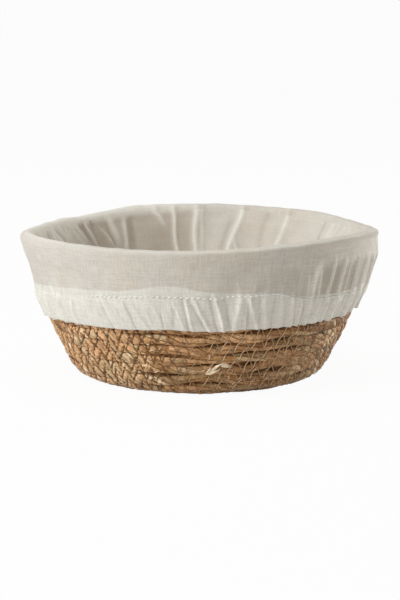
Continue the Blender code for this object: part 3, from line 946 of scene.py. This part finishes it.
class Folds:
    """Ridges in the cloth, with the azimuth, lean, width, height, start and end of each.

    Each set gives them as the fold tables do, in degrees and millimetres.
    """

    FADE = 8.0 * MM

    def __init__(self, *sets):
        rows = [np.column_stack(np.broadcast_arrays(*one)) for one in sets]
        self.ridges = np.concatenate(rows) * [math.radians(1.0), 1.0, MM, MM, MM, MM]

    def height(self, azimuth, below):
        """How far the folds stand out, that far below the rim."""
        total = np.zeros_like(azimuth)
        for middle, lean, width, tall, start, end in self.ridges:
            off = turned_from(azimuth, middle) * LINER_RADIUS - lean * (below - (start + end) / 2.0)
            off = off + 0.4 * width * np.sin(below / (7.0 * MM) + 90.0 * middle)
            near = np.abs(off) < 4.0 * width
            fade = band(below[near], start, start + self.FADE, end - 0.5 * self.FADE, end + 1.5 * self.FADE)
            total[near] += tall * fade / np.cosh(off[near] / width) ** 2
        return total


def scattered(dice, count, azimuths, lean, width, height, start, end):
    """A set of folds at uneven steps between two azimuths.

    The lean has a mean and a spread. A pair of numbers is a range, from which each fold draws its own.
    """
    def drawn(given):
        """One number for each fold, or the same for all."""
        return dice.uniform(*given, count) if isinstance(given, tuple) else given

    first, last = azimuths
    degrees = first + (np.arange(count) + dice.uniform(0.08, 0.92, count)) * (last - first) / count
    return [degrees, dice.normal(*lean, count), drawn(width), drawn(height), drawn(start), drawn(end)]


class Liner:
    """The shape of the side panel: the lining, the turn over the rim, the cuff and its hem."""

    CUFF_END = 62.0
    ROW_CROWDING = 1.5
    COLUMN_CROWDING = 0.35
    RIM_ARC_RADIUS = 5.0 * MM
    OFF_CUFF = 50.0 * MM
    SEAM_AZIMUTH = math.radians(-67.0)
    SHOULDER = RIM_ROW + RIM_SHOULDER
    SEAM_WIDTH = 0.8 * MM
    SEAM_DENT = 0.9 * MM
    STITCH_DENT_WIDTH = 1.1 * MM
    STITCH_DENT = 0.4 * MM
    SOFT_WAVE = 0.35 * MM
    RIM_WAVE = 0.15 * MM
    LINING_BILLOW = 0.8 * MM
    RIGHT_BULGE = 2.9 * MM
    LEFT_TUCK = 0.5 * MM
    ELASTIC_ROOM = 0.8 * MM
    FULLY_STANDING_AND_LIT = 1.2 * MM
    FULLY_HOLLOW = 0.8 * MM
    TUCKS = 20

    def __init__(self, sizes):
        dice = np.random.default_rng(31)
        gathers = scattered(
            dice, sizes.gathers, (0.0, 360.0), (0.0, 0.09), (0.55, 1.25), (0.15, 0.8), (-2.0, 7.0),
            self.CUFF_END)
        around = np.radians(gathers[0])
        small = 0.35 + 0.65 * even_step(np.abs(turned_from(around, 0.1)), 0.9, 1.4)
        gathers[1] = gathers[1] + ring_table(around, GATHER_LEAN)
        gathers[3] = gathers[3] * small * sizes.gather_height / MM
        gathers[4] = gathers[4] + ring_table(around, STITCH_ROW)
        puffs = scattered(
            dice, 32, (68.0, 318.0), (0.0, 0.15), (1.2, 2.0), (0.8, 2.0), 29.0, self.CUFF_END)
        pleats = scattered(
            dice, 16, (104.0, 275.0), (0.0, 0.12), (0.9, 1.6), (0.4, 1.5), (1.0, 5.0), self.CUFF_END)
        self.cuff_folds = Folds(np.transpose(HEM_PUFFS), np.transpose(CUFF_PLEATS), gathers, puffs, pleats)
        creases = scattered(
            dice, 22, (-120.0, 92.0), (0.0, 0.25), (1.6, 3.8), (0.3, 1.3), 4.0, (40.0, 95.0))
        tucks = scattered(
            dice, self.TUCKS, (229.0, 275.0), (-0.5, 0.25), (0.9, 1.7), (0.4, 1.5), -3.0, 0.0)
        tucks[3] = tucks[3] * dice.choice([-0.8, 1.0], self.TUCKS)
        tucks[5] = dice.uniform(6.0, 20.0, self.TUCKS)
        self.lining_folds = Folds(np.transpose(LINING_FOLDS), creases, tucks)

    @classmethod
    def cuff_length(cls, azimuth):
        """How far below the rim the cuff ends."""
        return cls.SHOULDER - hem_row(azimuth)

    @staticmethod
    def stitch_line(azimuth):
        """How far below the rim the hem's stitches run."""
        return ring_table(azimuth, STITCH_ROW) * MM + RIM_SHOULDER

    @staticmethod
    def turning_edge(azimuth):
        """How far below the rim the raw edge of the hem's turning shows through the cloth."""
        return ring_table(azimuth, TURNING_EDGE) * MM + RIM_SHOULDER

    @classmethod
    def seam(cls, azimuth, below):
        """1 along the crease of the side seam and 0 away from it."""
        past = turned_from(azimuth, cls.SEAM_AZIMUTH) * LINER_RADIUS + 0.12 * (below - 40.0 * MM)
        return bell(past, cls.SEAM_WIDTH) * even_step(below, 22.0 * MM, 32.0 * MM)

    @classmethod
    def stand(cls, azimuth, below):
        """How far out the smooth cuff would stand, that far below the rim."""
        right = facing(azimuth, 85.0, 0.3, 1.0)
        left = facing(azimuth, LEFT, 0.5, 1.0)
        stand = CUFF_STAND + HEM_STAND * (1.0 - 0.95 * right) * even_step(below, 16.0 * MM, 44.0 * MM)
        stand = stand - LEFT_WAIST * left * waist(below)
        stand = stand - cls.LEFT_TUCK * left * even_step(below, 38.0 * MM, 48.0 * MM)
        stand = stand - HEM_TUCK * even_step(below, 45.0 * MM, 56.0 * MM)
        bulge = even_step(below, -3.0 * MM, 10.0 * MM)
        bulge = bulge * (1.0 - 0.65 * even_step(below, 34.0 * MM, 52.0 * MM))
        return stand + cls.RIGHT_BULGE * right * bulge

    def cuff_out(self, azimuth, below):
        """How far out the cuff stands, that far below the rim."""
        soft = self.SOFT_WAVE * ring_waver(azimuth + 4.0 * below, 22, seed=43)
        soft = soft * even_step(below, 2.0 * MM, 14.0 * MM)
        soft = soft * (1.0 - 0.8 * even_step(below, 36.0 * MM, 46.0 * MM))
        past_stitches = below - self.stitch_line(azimuth)
        dent = self.STITCH_DENT * bell(past_stitches, self.STITCH_DENT_WIDTH)
        dent = dent + self.SEAM_DENT * self.seam(azimuth, below)
        out = self.stand(azimuth, below) + soft - dent + self.cuff_folds.height(azimuth, below)
        return np.maximum(out, TURNING_STAND + self.ELASTIC_ROOM * even_step(past_stitches, 0.0, 3.0 * MM))

    def lining(self, azimuth, up):
        """Along and out of the lining, that share of the way to the rim, and how far its folds stand in."""
        along = FLOOR_EDGE + up * (self.SHOULDER - FLOOR_EDGE)
        below = self.SHOULDER - along
        billow = self.LINING_BILLOW * (1.0 + ring_waver(azimuth - 3.0 * below, 15, seed=47))
        billow = billow * even_step(below, 0.0, 16.0 * MM) * even_step(up, 0.0, 0.1)
        wrinkles = self.lining_folds.height(azimuth, below) * even_step(up, 0.0, 0.15)
        deeper = (LINING_DEPTH - RIM_LINING_DEPTH) * even_step(below, 2.0 * MM, 14.0 * MM)
        return along, -RIM_LINING_DEPTH - deeper - billow - wrinkles, wrinkles

    def over_rim(self, azimuth, arc):
        """Along and out of the turn over the rim, whose arc is half a circle."""
        level = np.zeros_like(azimuth)
        inner = -RIM_LINING_DEPTH - self.lining_folds.height(azimuth, level)
        outer = self.cuff_out(azimuth, level)
        rise = RIM_RISE + self.RIM_WAVE * ring_waver(azimuth, 34, seed=53)
        for degrees, width, height in RIM_PUFFS:
            rise = rise + height * MM * bell(turned_from(azimuth, math.radians(degrees)), width)
        power = np.where(arc < math.pi / 2.0, 1.0, 0.5 + 0.4 * facing(azimuth, LEFT, 0.5, 1.0))
        out = (inner + outer) / 2.0 - (outer - inner) / 2.0 * squared(np.cos(arc), power)
        return self.SHOULDER + rise * squared(np.sin(arc), power), out

    def bend(self, across, down):
        """The whole panel, from the floor seam to the end of the hem's turning."""
        azimuth = across * math.tau - self.COLUMN_CROWDING * np.sin(across * math.tau)
        row = down * LINER_ROWS
        ends = np.cumsum([0, LINING_ROWS, RIM_ROWS, CUFF_ROWS, FOLD_ROWS, TURNING_ROWS])
        up, over, cuff, fold, turning = (
            np.clip((row - first) / (last - first), 0.0, 1.0) for first, last in zip(ends, ends[1:]))
        zone = np.searchsorted(ends[1:-1], row, side="left")

        def by_zone(*parts):
            """For each point the part of its own zone, from the lining to the turning."""
            return np.choose(zone, parts)

        lining_along, lining_out, wrinkles = self.lining(azimuth, 1.0 - (1.0 - up) ** self.ROW_CROWDING)
        arc = over * math.pi
        rim_along, rim_out = self.over_rim(azimuth, arc)
        below = cuff * self.cuff_length(azimuth)
        cuff_out = self.cuff_out(azimuth, below)
        hem = hem_row(azimuth)
        turned = fold * math.pi
        fold_along = hem - HEM_FOLD * np.sin(turned)
        fold_out = (cuff_out + TURNING_STAND) / 2.0 + (cuff_out - TURNING_STAND) / 2.0 * np.cos(turned)
        turning_along = hem + turning * (self.cuff_length(azimuth) - self.stitch_line(azimuth) - 1.0 * MM)
        along = by_zone(lining_along, rim_along, self.SHOULDER - below, fold_along, turning_along)
        out = by_zone(lining_out, rim_out, cuff_out, fold_out, TURNING_STAND)
        chart = (
            azimuth * LINER_RADIUS,
            lining_along + arc * self.RIM_ARC_RADIUS + below + turned * MM + turning_along - hem)

        # Painted light: the lining paler inside the right wall and, more, inside the shaded left wall, and
        # the cuff paler on its shaded right side.
        lining_painted_light = 0.25 * MM * facing(azimuth, 105.0, 0.3, 0.9)
        lining_painted_light = lining_painted_light + 1.0 * MM * facing(azimuth, 254.0, 0.85, 0.97)
        cuff_painted_light = 0.9 * MM * facing(azimuth, 97.0, 0.70, 0.98)
        # Painted light: a pale band on the lining under the rim, strongest on its shaded left side, and a
        # painted highlight along the top of the turn over the rim.
        rim_light_band = 1.0 - even_step(self.SHOULDER - lining_along, 0.0, 5.0 * MM)
        shaded_side = 0.2 + 0.8 * facing(azimuth, 250.0, 0.1, 0.65)
        rim_light = np.where(arc < math.pi / 2.0, shaded_side, np.sin(arc) ** 12)
        cuff_folds = self.cuff_folds.height(azimuth, below)
        # Fold ridges stand off the rope, which shows through less there, partly painted highlight; the
        # painted light above is added in.
        standing = by_zone(
            wrinkles + lining_painted_light + self.FULLY_STANDING_AND_LIT * rim_light_band * shaded_side,
            self.FULLY_STANDING_AND_LIT * rim_light, cuff_folds + cuff_painted_light, 0.0, 0.0)
        # Painted shade, partly the rope showing through the tight cloth: the cuff's front-right, between
        # its pleats, and the inside of the back-left wall.
        tight_and_shaded_cuff = 0.45 * even_step(azimuth, 0.0, 0.6) + 0.55 * even_step(azimuth, 0.62, 0.80)
        tight_and_shaded_cuff = tight_and_shaded_cuff * (1.0 - even_step(azimuth, 1.15, 1.35))
        tight_and_shaded_cuff = tight_and_shaded_cuff * even_step(below, 8.0 * MM, 16.0 * MM)
        tight_and_shaded_lining = 0.85 * facing(azimuth, 207.0, 0.82, 0.96)
        # The folds' valleys, which get painted shade.
        sunken = -by_zone(0.35 * wrinkles, 0.0, cuff_folds, 0.0, 0.0)
        above = self.turning_edge(azimuth) - below
        values = {
            "above_turning": by_zone(self.OFF_CUFF, self.OFF_CUFF, above, -self.OFF_CUFF, -self.OFF_CUFF),
            "row": along,
            "pressed": by_zone(tight_and_shaded_lining, 0.0, tight_and_shaded_cuff, 0.0, 0.0),
            "hollow": np.clip(sunken / self.FULLY_HOLLOW, 0.0, 1.0),
            "seam": by_zone(0.0, 0.0, self.seam(azimuth, below), 0.0, 0.0),
            "standing": np.clip(standing / self.FULLY_STANDING_AND_LIT, 0.0, 1.0),
        }
        return on_bowl(along, out, azimuth), chart, values


# Operators

class BASKET_OT_seagrass_rope(Operator):
    """Winds the grass rope from the middle of the base to the rim."""

    bl_idname = "basket.seagrass_rope"
    bl_label = "Seagrass rope"

    # Name, first and last turn, and length of one step along the rope
    STRETCHES = (
        ("seagrass_base", FIRST_TURN, 9.0, 1.5 * MM), ("seagrass_corner", 9.0, 13.5, 0.9 * MM),
        ("seagrass_wall", 13.5, 17.5, 0.9 * MM), ("seagrass_rim", 17.5, LAST_TURN, 1.45 * MM))
    SIDES = 26
    OUTER_SHARE = 18 / 26
    QUICK_STEP = 3.0

    def execute(self, context):
        sizes = context.scene.basket_sizes
        rope = Rope(sizes)
        finish = seagrass_finish(sizes, context.scene.basket_colours)
        for name, first_turn, last_turn, step in self.STRETCHES:
            first, last = rope.run(first_turn), rope.run(last_turn)
            steps = int((last - first) / (step * 1.0))

            def bend(around, lengthwise):
                """Wraps a flat strip round this stretch of the rope."""
                run = first + lengthwise * (last - first)
                girth = np.interp(around, (0.0, self.OUTER_SHARE, 1.0), (0.0, 0.5, 1.0))
                along, out, sunk = rope.skin(run, girth)
                places = on_bowl(along, out, math.tau * rope.turn(run))
                places[:, 2] = np.maximum(places[:, 2], 0.0)
                values = {
                    "lay": rope.twist(run),
                    "sunk": sunk,
                    "loose": 1.0 - rope.hardness(run),
                    "aged": rope.aged(run),
                    "bleached": rope.bleached(run),
                }
                return places, (run, girth), values

            mesh = bent_grid(name, self.SIDES, steps, bend)
            face_outwards(mesh, fill_ends=True)
            add_piece(name, mesh, finish, "basket", "seagrass", "seagrass_coil")
        return {"FINISHED"}


class BASKET_OT_sewing_threads(Operator):
    """Sews each row of the rope to the next with a zigzag thread, on both faces."""

    bl_idname = "basket.sewing_threads"
    bl_label = "Sewing threads"

    # Name, whether it lies outside, points on each leg of the zigzag, and the solid it stands for
    FACES = (("outer_stitches", True, 6, "wall_thread"), ("inner_stitches", False, 2, "base_thread"))
    SIDES = 6
    LIFT = 0.3 * MM
    DIP = 0.5 * MM
    UNEVENNESS = 0.25 * MM
    GROOVE_DEPTH = 0.8 * MM
    COVERED_SINK = 0.3 * MM
    COVERED_TURN = LAST_TURN - 4.0
    RIM_TURN = LAST_TURN - 2.5
    LAST_SEWN_TURN = LAST_TURN - 1.15

    def execute(self, context):
        sizes = context.scene.basket_sizes
        rope = Rope(sizes)
        colours = context.scene.basket_colours
        finish = thread_finish("sewing_thread", colours.sewing_thread, 0.5, 0.2, colours.lit_thread)
        for name, outside, points, node in self.FACES:
            places, rising = self.line(rope, outside, points)
            mesh = strands(
                name, [places], sizes.thread_thickness, sides=self.SIDES, values={"rising": rising})
            add_piece(name, mesh, finish, "basket", "sewing_thread", node)
        return {"FINISHED"}

    def line(self, rope, outside, points):
        """The thread on one face: it lies on the leaves, bridges the grooves and dips where it pierces.

        Where the liner covers the rows, the stitches are shorter and lie deeper.
        """
        half = rope.sizes.rope_thickness / 2.0
        stitch = np.arange(0.0, rope.stitch(rope.run(self.LAST_SEWN_TURN)), 0.5 / points)
        run = np.interp(stitch, rope.stitches, rope.runs)
        turn = rope.turn(run)
        covered = (turn > self.COVERED_TURN) | (not outside)
        across = rope.thread_across(run)
        across = np.where(covered, np.clip(across, 0.0, 0.9), across)
        along = row_place(turn)[0] * (1.0 - across) + row_place(turn + 1.0)[0] * across
        dip = self.DIP * even_step(np.abs(across - 0.5), 0.42, rope.THREAD_REACH)
        if outside:
            out = np.maximum(rope.face(run, across) + self.LIFT, half - self.GROOVE_DEPTH)
            out = out - dip - self.COVERED_SINK * covered
        else:
            out = dip - np.where(turn > self.RIM_TURN, 0.75, 0.9) * half
        along = along + self.UNEVENNESS * waver(run, 30.0 * MM, seed=61)
        places = on_bowl(along, out, math.tau * turn)
        places[:, 2] = np.maximum(places[:, 2], rope.sizes.thread_thickness / 2.0)
        # One leg of each zigzag, marked as rising, gets more of the thread's painted highlight.
        return places, (stitch % 1.0 > 0.5).astype(float)


class BASKET_OT_stray_fibres(Operator):
    """Leaves loose ends of grass on the outside of the wall."""

    bl_idname = "basket.stray_fibres"
    bl_label = "Stray fibres"

    # A torn leaf on the front: azimuth in degrees, millimetres up the wall from the corner, heading in
    # degrees, and length in millimetres of each sliver
    TORN_LEAF = (
        (3.6, 8.0, 44, 12.0), (3.0, 7.5, 28, 7.0), (4.2, 9.0, 58, 9.0), (3.4, 8.2, 15, 6.0),
        (2.8, 8.0, 52, 5.5), (3.2, 7.0, 36, 8.0), (4.6, 8.4, 22, 6.5), (2.6, 7.2, 8, 6.0),
        (8.6, 13.6, -8, 7.0), (9.0, 14.4, -16, 6.0), (8.8, 14.2, 6, 5.0), (8.4, 13.0, -3, 6.5),
        (6.2, 13.2, 30, 6.0))
    # Name, thickness and lift of the slivers and of the other loose ends, and thickness along each
    TORN_SIZES = ("torn_leaf", 1.0 * MM, 1.1 * MM)
    STRAY_SIZES = ("stray_fibres", 0.55 * MM, 0.5 * MM)
    TAPER = np.array([0.6, 1.0, 1.0, 0.7, 0.2])

    def execute(self, context):
        scene = context.scene
        sizes, colours = scene.basket_sizes, scene.basket_colours
        torn = [(math.radians(azimuth), CORNER_END + up * MM, math.radians(heading), length * MM)
                for azimuth, up, heading, length in self.TORN_LEAF]
        dice = np.random.default_rng(71)
        count = sizes.stray_fibres
        ends = np.column_stack([
            dice.uniform(0.0, math.tau, count), dice.uniform(BASE_FLAT_RADIUS + 8.0 * MM, RIM_ROW, count),
            dice.normal(0.0, 0.5, count), dice.uniform(2.0, 6.0, count) * MM])
        for fibres, (name, thickness, lift) in ((torn, self.TORN_SIZES), (ends, self.STRAY_SIZES)):
            lines = [self.fibre(sizes, dice, lift, *fibre) for fibre in fibres]
            mesh = strands(name, lines, thickness, self.TAPER)
            finish = thread_finish(name, colours.torn_leaf, 0.6, 0.3)
            add_piece(name, mesh, finish, "basket", "seagrass")
        return {"FINISHED"}

    @classmethod
    def fibre(cls, sizes, dice, lift, azimuth, along, heading, length):
        """One sliver of grass that curls away from the rope."""
        share = np.linspace(0.0, 1.0, len(cls.TAPER))
        curl = heading + dice.normal(0.0, 0.2) * share
        return on_bowl(
            along + length * share * np.sin(curl),
            sizes.rope_thickness / 2.0 + lift * (dice.uniform(0.4, 1.0) * np.sin(share * 2.2) - 0.2),
            azimuth + length * share * np.cos(curl) / meridian(along)[0])


class BASKET_OT_liner_side(Operator):
    """Hangs the side panel of the liner: lining, rim, cuff and hem."""

    bl_idname = "basket.liner_side"
    bl_label = "Liner side panel"

    def execute(self, context):
        liner = Liner(context.scene.liner_sizes)
        mesh = bent_grid("liner_side", LINER_COLUMNS, LINER_ROWS, liner.bend)
        finish = linen_finish(context.scene.basket_colours)
        piece = add_piece("liner_side", mesh, finish, "liner", "linen", "liner_side_panel")
        return {"FINISHED"}


class BASKET_OT_liner_floor(Operator):
    """Lays the round floor panel of the liner on the base."""

    bl_idname = "basket.liner_floor"
    bl_label = "Liner floor panel"

    COLUMNS, RINGS = 180, 60
    WAVE = 0.5 * MM

    def execute(self, context):
        def bend(around, inwards):
            """Turns a flat strip into a round panel, from its edge to its middle."""
            azimuth = around * math.tau
            radius = FLOOR_EDGE * (1.0 - inwards)
            pucker = ring_waver(azimuth, 26, seed=81) * even_step(radius, 50.0 * MM, FLOOR_EDGE)
            slant = radius * np.cos(azimuth) + 0.3 * radius
            ripple = waver(slant, 50.0 * MM, seed=83) * (1.0 - inwards)
            rise = self.WAVE * (pucker + ripple) * even_step(FLOOR_EDGE - radius, 0.0, 4.0 * MM)
            places = about_axis(radius, azimuth, FLOOR_HEIGHT + rise)
            return places, (places[:, 0], places[:, 1]), {}

        mesh = bent_grid("liner_floor", self.COLUMNS, self.RINGS, bend)
        finish = linen_finish(context.scene.basket_colours, "floor_linen", layered=False)
        piece = add_piece("liner_floor", mesh, finish, "liner", "linen", "liner_floor_panel")
        return {"FINISHED"}


class BASKET_OT_liner_stitches(Operator):
    """Sews the hem's turning and the floor seam with running stitches."""

    bl_idname = "basket.liner_stitches"
    bl_label = "Liner stitches"

    HEM_RADIUS = 119.0 * MM
    SEAM_ALLOWANCE = 1.5 * MM
    BURIED_DEPTH = 1.5 * MM
    # At four points along a stitch: its place from end to end, its thickness, how far it leans down, and
    # how far it stands out of the cuff and of the floor
    PLACES = np.array([-1.0, -0.45, 0.45, 1.0])
    TAPER = np.array([0.45, 1.0, 1.0, 0.45])
    LEAN = 0.3 * MM * np.array([1.0, 0.4, -0.4, -1.0])
    CUFF_ARCH = MM * np.array([0.1, 0.65, 0.65, 0.1])
    FLOOR_ARCH = MM * np.array([0.0, 0.25, 0.25, 0.0])

    def execute(self, context):
        sizes = context.scene.liner_sizes
        liner = Liner(sizes)
        finish = thread_finish("white_thread", context.scene.basket_colours.white_thread, 0.6, 0.3)
        rows = (
            ("hem_stitches", self.HEM_RADIUS, partial(self.on_cuff, liner), "hem_thread"),
            ("floor_seam_stitches", FLOOR_EDGE, self.on_floor, "floor_seam_thread"))
        for name, radius, place, node in rows:
            mesh = strands(name, self.dashes(sizes, radius, place), sizes.stitch_thickness, self.TAPER)
            add_piece(name, mesh, finish, "liner", "white_thread", node)
        return {"FINISHED"}

    @classmethod
    def dashes(cls, sizes, radius, place):
        """The places of each stitch of a row that closes on itself."""
        count = int(math.tau * radius / (sizes.stitch_length + sizes.stitch_gap))
        half = sizes.stitch_length / radius / 2.0
        for number in range(count):
            yield place(math.tau * number / count + half * cls.PLACES)

    @classmethod
    def on_cuff(cls, liner, azimuth):
        """One stitch of the hem: it leans, is longer on the right, and is buried away from the front."""
        drawn = band(azimuth, 0.25, 0.35, 1.05, 1.2)
        azimuth = azimuth + 0.75 * drawn * (azimuth - np.mean(azimuth))
        below = liner.stitch_line(azimuth) + cls.LEAN
        buried = even_step(np.abs(turned_from(azimuth, math.radians(14.0))), 0.87, 1.0)
        out = liner.cuff_out(azimuth, below) + cls.CUFF_ARCH - cls.BURIED_DEPTH * buried
        return on_bowl(liner.SHOULDER - below, out, azimuth)

    @classmethod
    def on_floor(cls, azimuth):
        """One stitch of the floor seam, just inside the panel's edge."""
        return about_axis(FLOOR_EDGE - cls.SEAM_ALLOWANCE, azimuth, FLOOR_HEIGHT + cls.FLOOR_ARCH)


class BASKET_OT_hem_elastic(Operator):
    """Runs the flat elastic band through the hem, just above its lower fold."""

    bl_idname = "basket.hem_elastic"
    bl_label = "Hem elastic"

    COLUMNS, SIDES = 240, 12
    ABOVE_FOLD = 1.0 * MM
    OFF_TURNING = 0.35 * MM

    def execute(self, context):
        def bend(around, section):
            """Wraps a flat strip into the band, all round the hem."""
            azimuth, angle = around * math.tau, section * math.tau
            middle = hem_row(azimuth) + ELASTIC_WIDTH / 2.0 + self.ABOVE_FOLD
            along = middle + ELASTIC_WIDTH / 2.0 * squared(np.sin(angle))
            out = TURNING_STAND + self.OFF_TURNING + ELASTIC_THICKNESS / 2.0 * squared(np.cos(angle))
            return on_bowl(along, out, azimuth), (azimuth * LINER_RADIUS, section * ELASTIC_WIDTH), {}

        mesh = bent_grid("hem_elastic_band", self.COLUMNS, self.SIDES, bend)
        face_outwards(mesh)
        finish = elastic_finish(context.scene.basket_colours)
        add_piece("hem_elastic_band", mesh, finish, "liner", "elastic", "hem_elastic")
        return {"FINISHED"}


class BASKET_OT_stage(Operator):
    """Sets up the floor, the lamps, the sky and the camera."""

    bl_idname = "basket.stage"
    bl_label = "Stage"

    LOOK_AT = Vector((0.7 * MM, 0.0, 49.0 * MM))
    FLOOR_REACH = 3.0
    SWEEP_RADIUS = 1.0
    FLOOR_DROP = 0.2 * MM
    SENSOR_WIDTH = 36.0

    def execute(self, context):
        scene = context.scene
        setup = scene.stage_setup
        scene.view_settings.view_transform = "Standard"
        self.backdrop(scene)
        self.lamp("key_lamp", Vector((-1.333, -0.833, 0.95)), 0.8, setup.key_power, (0.96, 0.985, 1.0))
        self.lamp("fill_lamp", Vector((1.25, 0.72, 0.15)), 0.5, setup.fill_power)
        self.lamp("top_lamp", Vector((-0.2, 0.1, 1.6)), 1.0, setup.top_power)
        self.sky(setup.sky_strength)
        self.camera(scene, setup)
        return {"FINISHED"}

    def backdrop(self, scene):
        """A floor that sweeps up into a wall far behind the basket."""
        reach = self.FLOOR_REACH
        mesh = bpy.data.meshes.new("floor")
        with shaping(mesh) as work:
            bmesh.ops.create_grid(work, x_segments=1, y_segments=1, size=reach)
            far = [e for e in work.edges if all(v.co.y > 0.9 * reach for v in e.verts)]
            bmesh.ops.spin(
                work, geom=far, cent=(0.0, reach, self.SWEEP_RADIUS), axis=(1.0, 0.0, 0.0),
                angle=math.pi / 2.0, steps=12)
            bmesh.ops.recalc_face_normals(work, faces=work.faces)
            bmesh.ops.translate(work, vec=(0.0, 0.0, -self.FLOOR_DROP), verts=work.verts)
        mesh.shade_smooth()
        mesh.materials.append(self.floor_finish(scene.basket_colours))
        floor = show("floor", mesh)

    @staticmethod
    def floor_finish(colours):
        """Matt pale board: it keeps the basket's shadow, and looks near white to the camera."""
        finish = Finish("floor_board")
        finish.surface(base_color=colours.floor, roughness=0.9)
        seen = sum(
            finish.node("ShaderNodeLightPath", output=f"Is {kind} Ray")
            for kind in ("Camera", "Glossy", "Transmission"))
        white = finish.node("ShaderNodeEmission", None, {"Color": (1.0, 1.0, 1.0), "Strength": 1.0})
        board = Value(finish, finish.shader.outputs[0])
        both = finish.node("ShaderNodeMixShader", None, [seen.math("MINIMUM", 1.0) * 0.95, board, white])
        finish.tree.links.new(both.socket, finish.tree.nodes["Material Output"].inputs["Surface"])
        return finish.material

    def lamp(self, name, place, size, power, colour=(1.0, 1.0, 1.0)):
        """A round soft lamp that points at the basket."""
        light = bpy.data.lights.new(name, "AREA")
        light.shape = "DISK"
        light.size = size
        light.energy = power
        light.color = colour
        lamp = show(name, light)
        lamp.location = place
        lamp.rotation_euler = (self.LOOK_AT - place).to_track_quat("-Z", "Y").to_euler()

    @staticmethod
    def sky(strength):
        """An even sky, which looks as white as the floor past its edge."""
        world = bpy.data.worlds.new("soft_sky")
        world.use_nodes = True
        tree = world.node_tree
        sky = tree.nodes["Background"]
        sky.inputs["Color"].default_value = (1.0, 0.97, 0.91, 1.0)
        sky.inputs["Strength"].default_value = strength
        white = tree.nodes.new("ShaderNodeBackground")
        white.inputs["Color"].default_value = (0.97, 0.97, 0.97, 1.0)
        rays = tree.nodes.new("ShaderNodeLightPath")
        both = tree.nodes.new("ShaderNodeMixShader")
        tree.links.new(rays.outputs["Is Camera Ray"], both.inputs["Fac"])
        for share, side in zip(both.inputs[1:], (sky, white)):
            tree.links.new(side.outputs["Background"], share)
        tree.links.new(both.outputs["Shader"], tree.nodes["World Output"].inputs["Surface"])
        bpy.context.scene.world = world

    def camera(self, scene, setup):
        """The camera, in front of the basket and a little above it."""
        lens = bpy.data.cameras.new("camera")
        lens.lens = setup.focal_length
        lens.sensor_width = self.SENSOR_WIDTH
        camera = show("camera", lens)
        back = Vector((0.0, -math.cos(setup.camera_elevation), math.sin(setup.camera_elevation)))
        camera.location = self.LOOK_AT + back * setup.camera_distance
        camera.rotation_euler = (-back).to_track_quat("-Z", "Y").to_euler()
        scene.camera = camera


class BASKET_PT_pieces(Panel):
    """Lists the sizes, the colours and the pieces."""

    bl_idname = "BASKET_PT_pieces"
    bl_label = "Proofing basket"
    bl_space_type = "VIEW_3D"
    bl_region_type = "UI"
    bl_category = "Basket"

    def draw(self, context):
        for operator in OPERATORS:
            self.layout.operator(operator.bl_idname)
        for group in PROPERTY_GROUPS.values():
            settings = getattr(context.scene, group)
            box = self.layout.box()
            for name in settings.bl_rna.properties.keys():
                if name not in ("rna_type", "name"):
                    box.prop(settings, name)


PROPERTY_GROUPS = {
    BasketSizes: "basket_sizes",
    LinerSizes: "liner_sizes",
    BasketColours: "basket_colours",
    StageSetup: "stage_setup",
}
OPERATORS = (
    BASKET_OT_stage,
    BASKET_OT_seagrass_rope,
    BASKET_OT_sewing_threads,
    BASKET_OT_stray_fibres,
    BASKET_OT_liner_side,
    BASKET_OT_liner_floor,
    BASKET_OT_liner_stitches,
    BASKET_OT_hem_elastic,
)


def register():
    """Registers the settings, the operators and the panel."""
    for group, name in PROPERTY_GROUPS.items():
        bpy.utils.register_class(group)
        setattr(bpy.types.Scene, name, PointerProperty(type=group))
    for operator in OPERATORS:
        bpy.utils.register_class(operator)
    bpy.utils.register_class(BASKET_PT_pieces)


def unregister():
    """Takes them out again, in the other order."""
    bpy.utils.unregister_class(BASKET_PT_pieces)
    for operator in reversed(OPERATORS):
        bpy.utils.unregister_class(operator)
    for group, name in reversed(PROPERTY_GROUPS.items()):
        delattr(bpy.types.Scene, name)
        bpy.utils.unregister_class(group)


def main():
    """Builds every piece."""
    register()
    for operator in OPERATORS:
        group, name = operator.bl_idname.split(".")
        getattr(getattr(bpy.ops, group), name)()


if __name__ == "__main__":
    main()
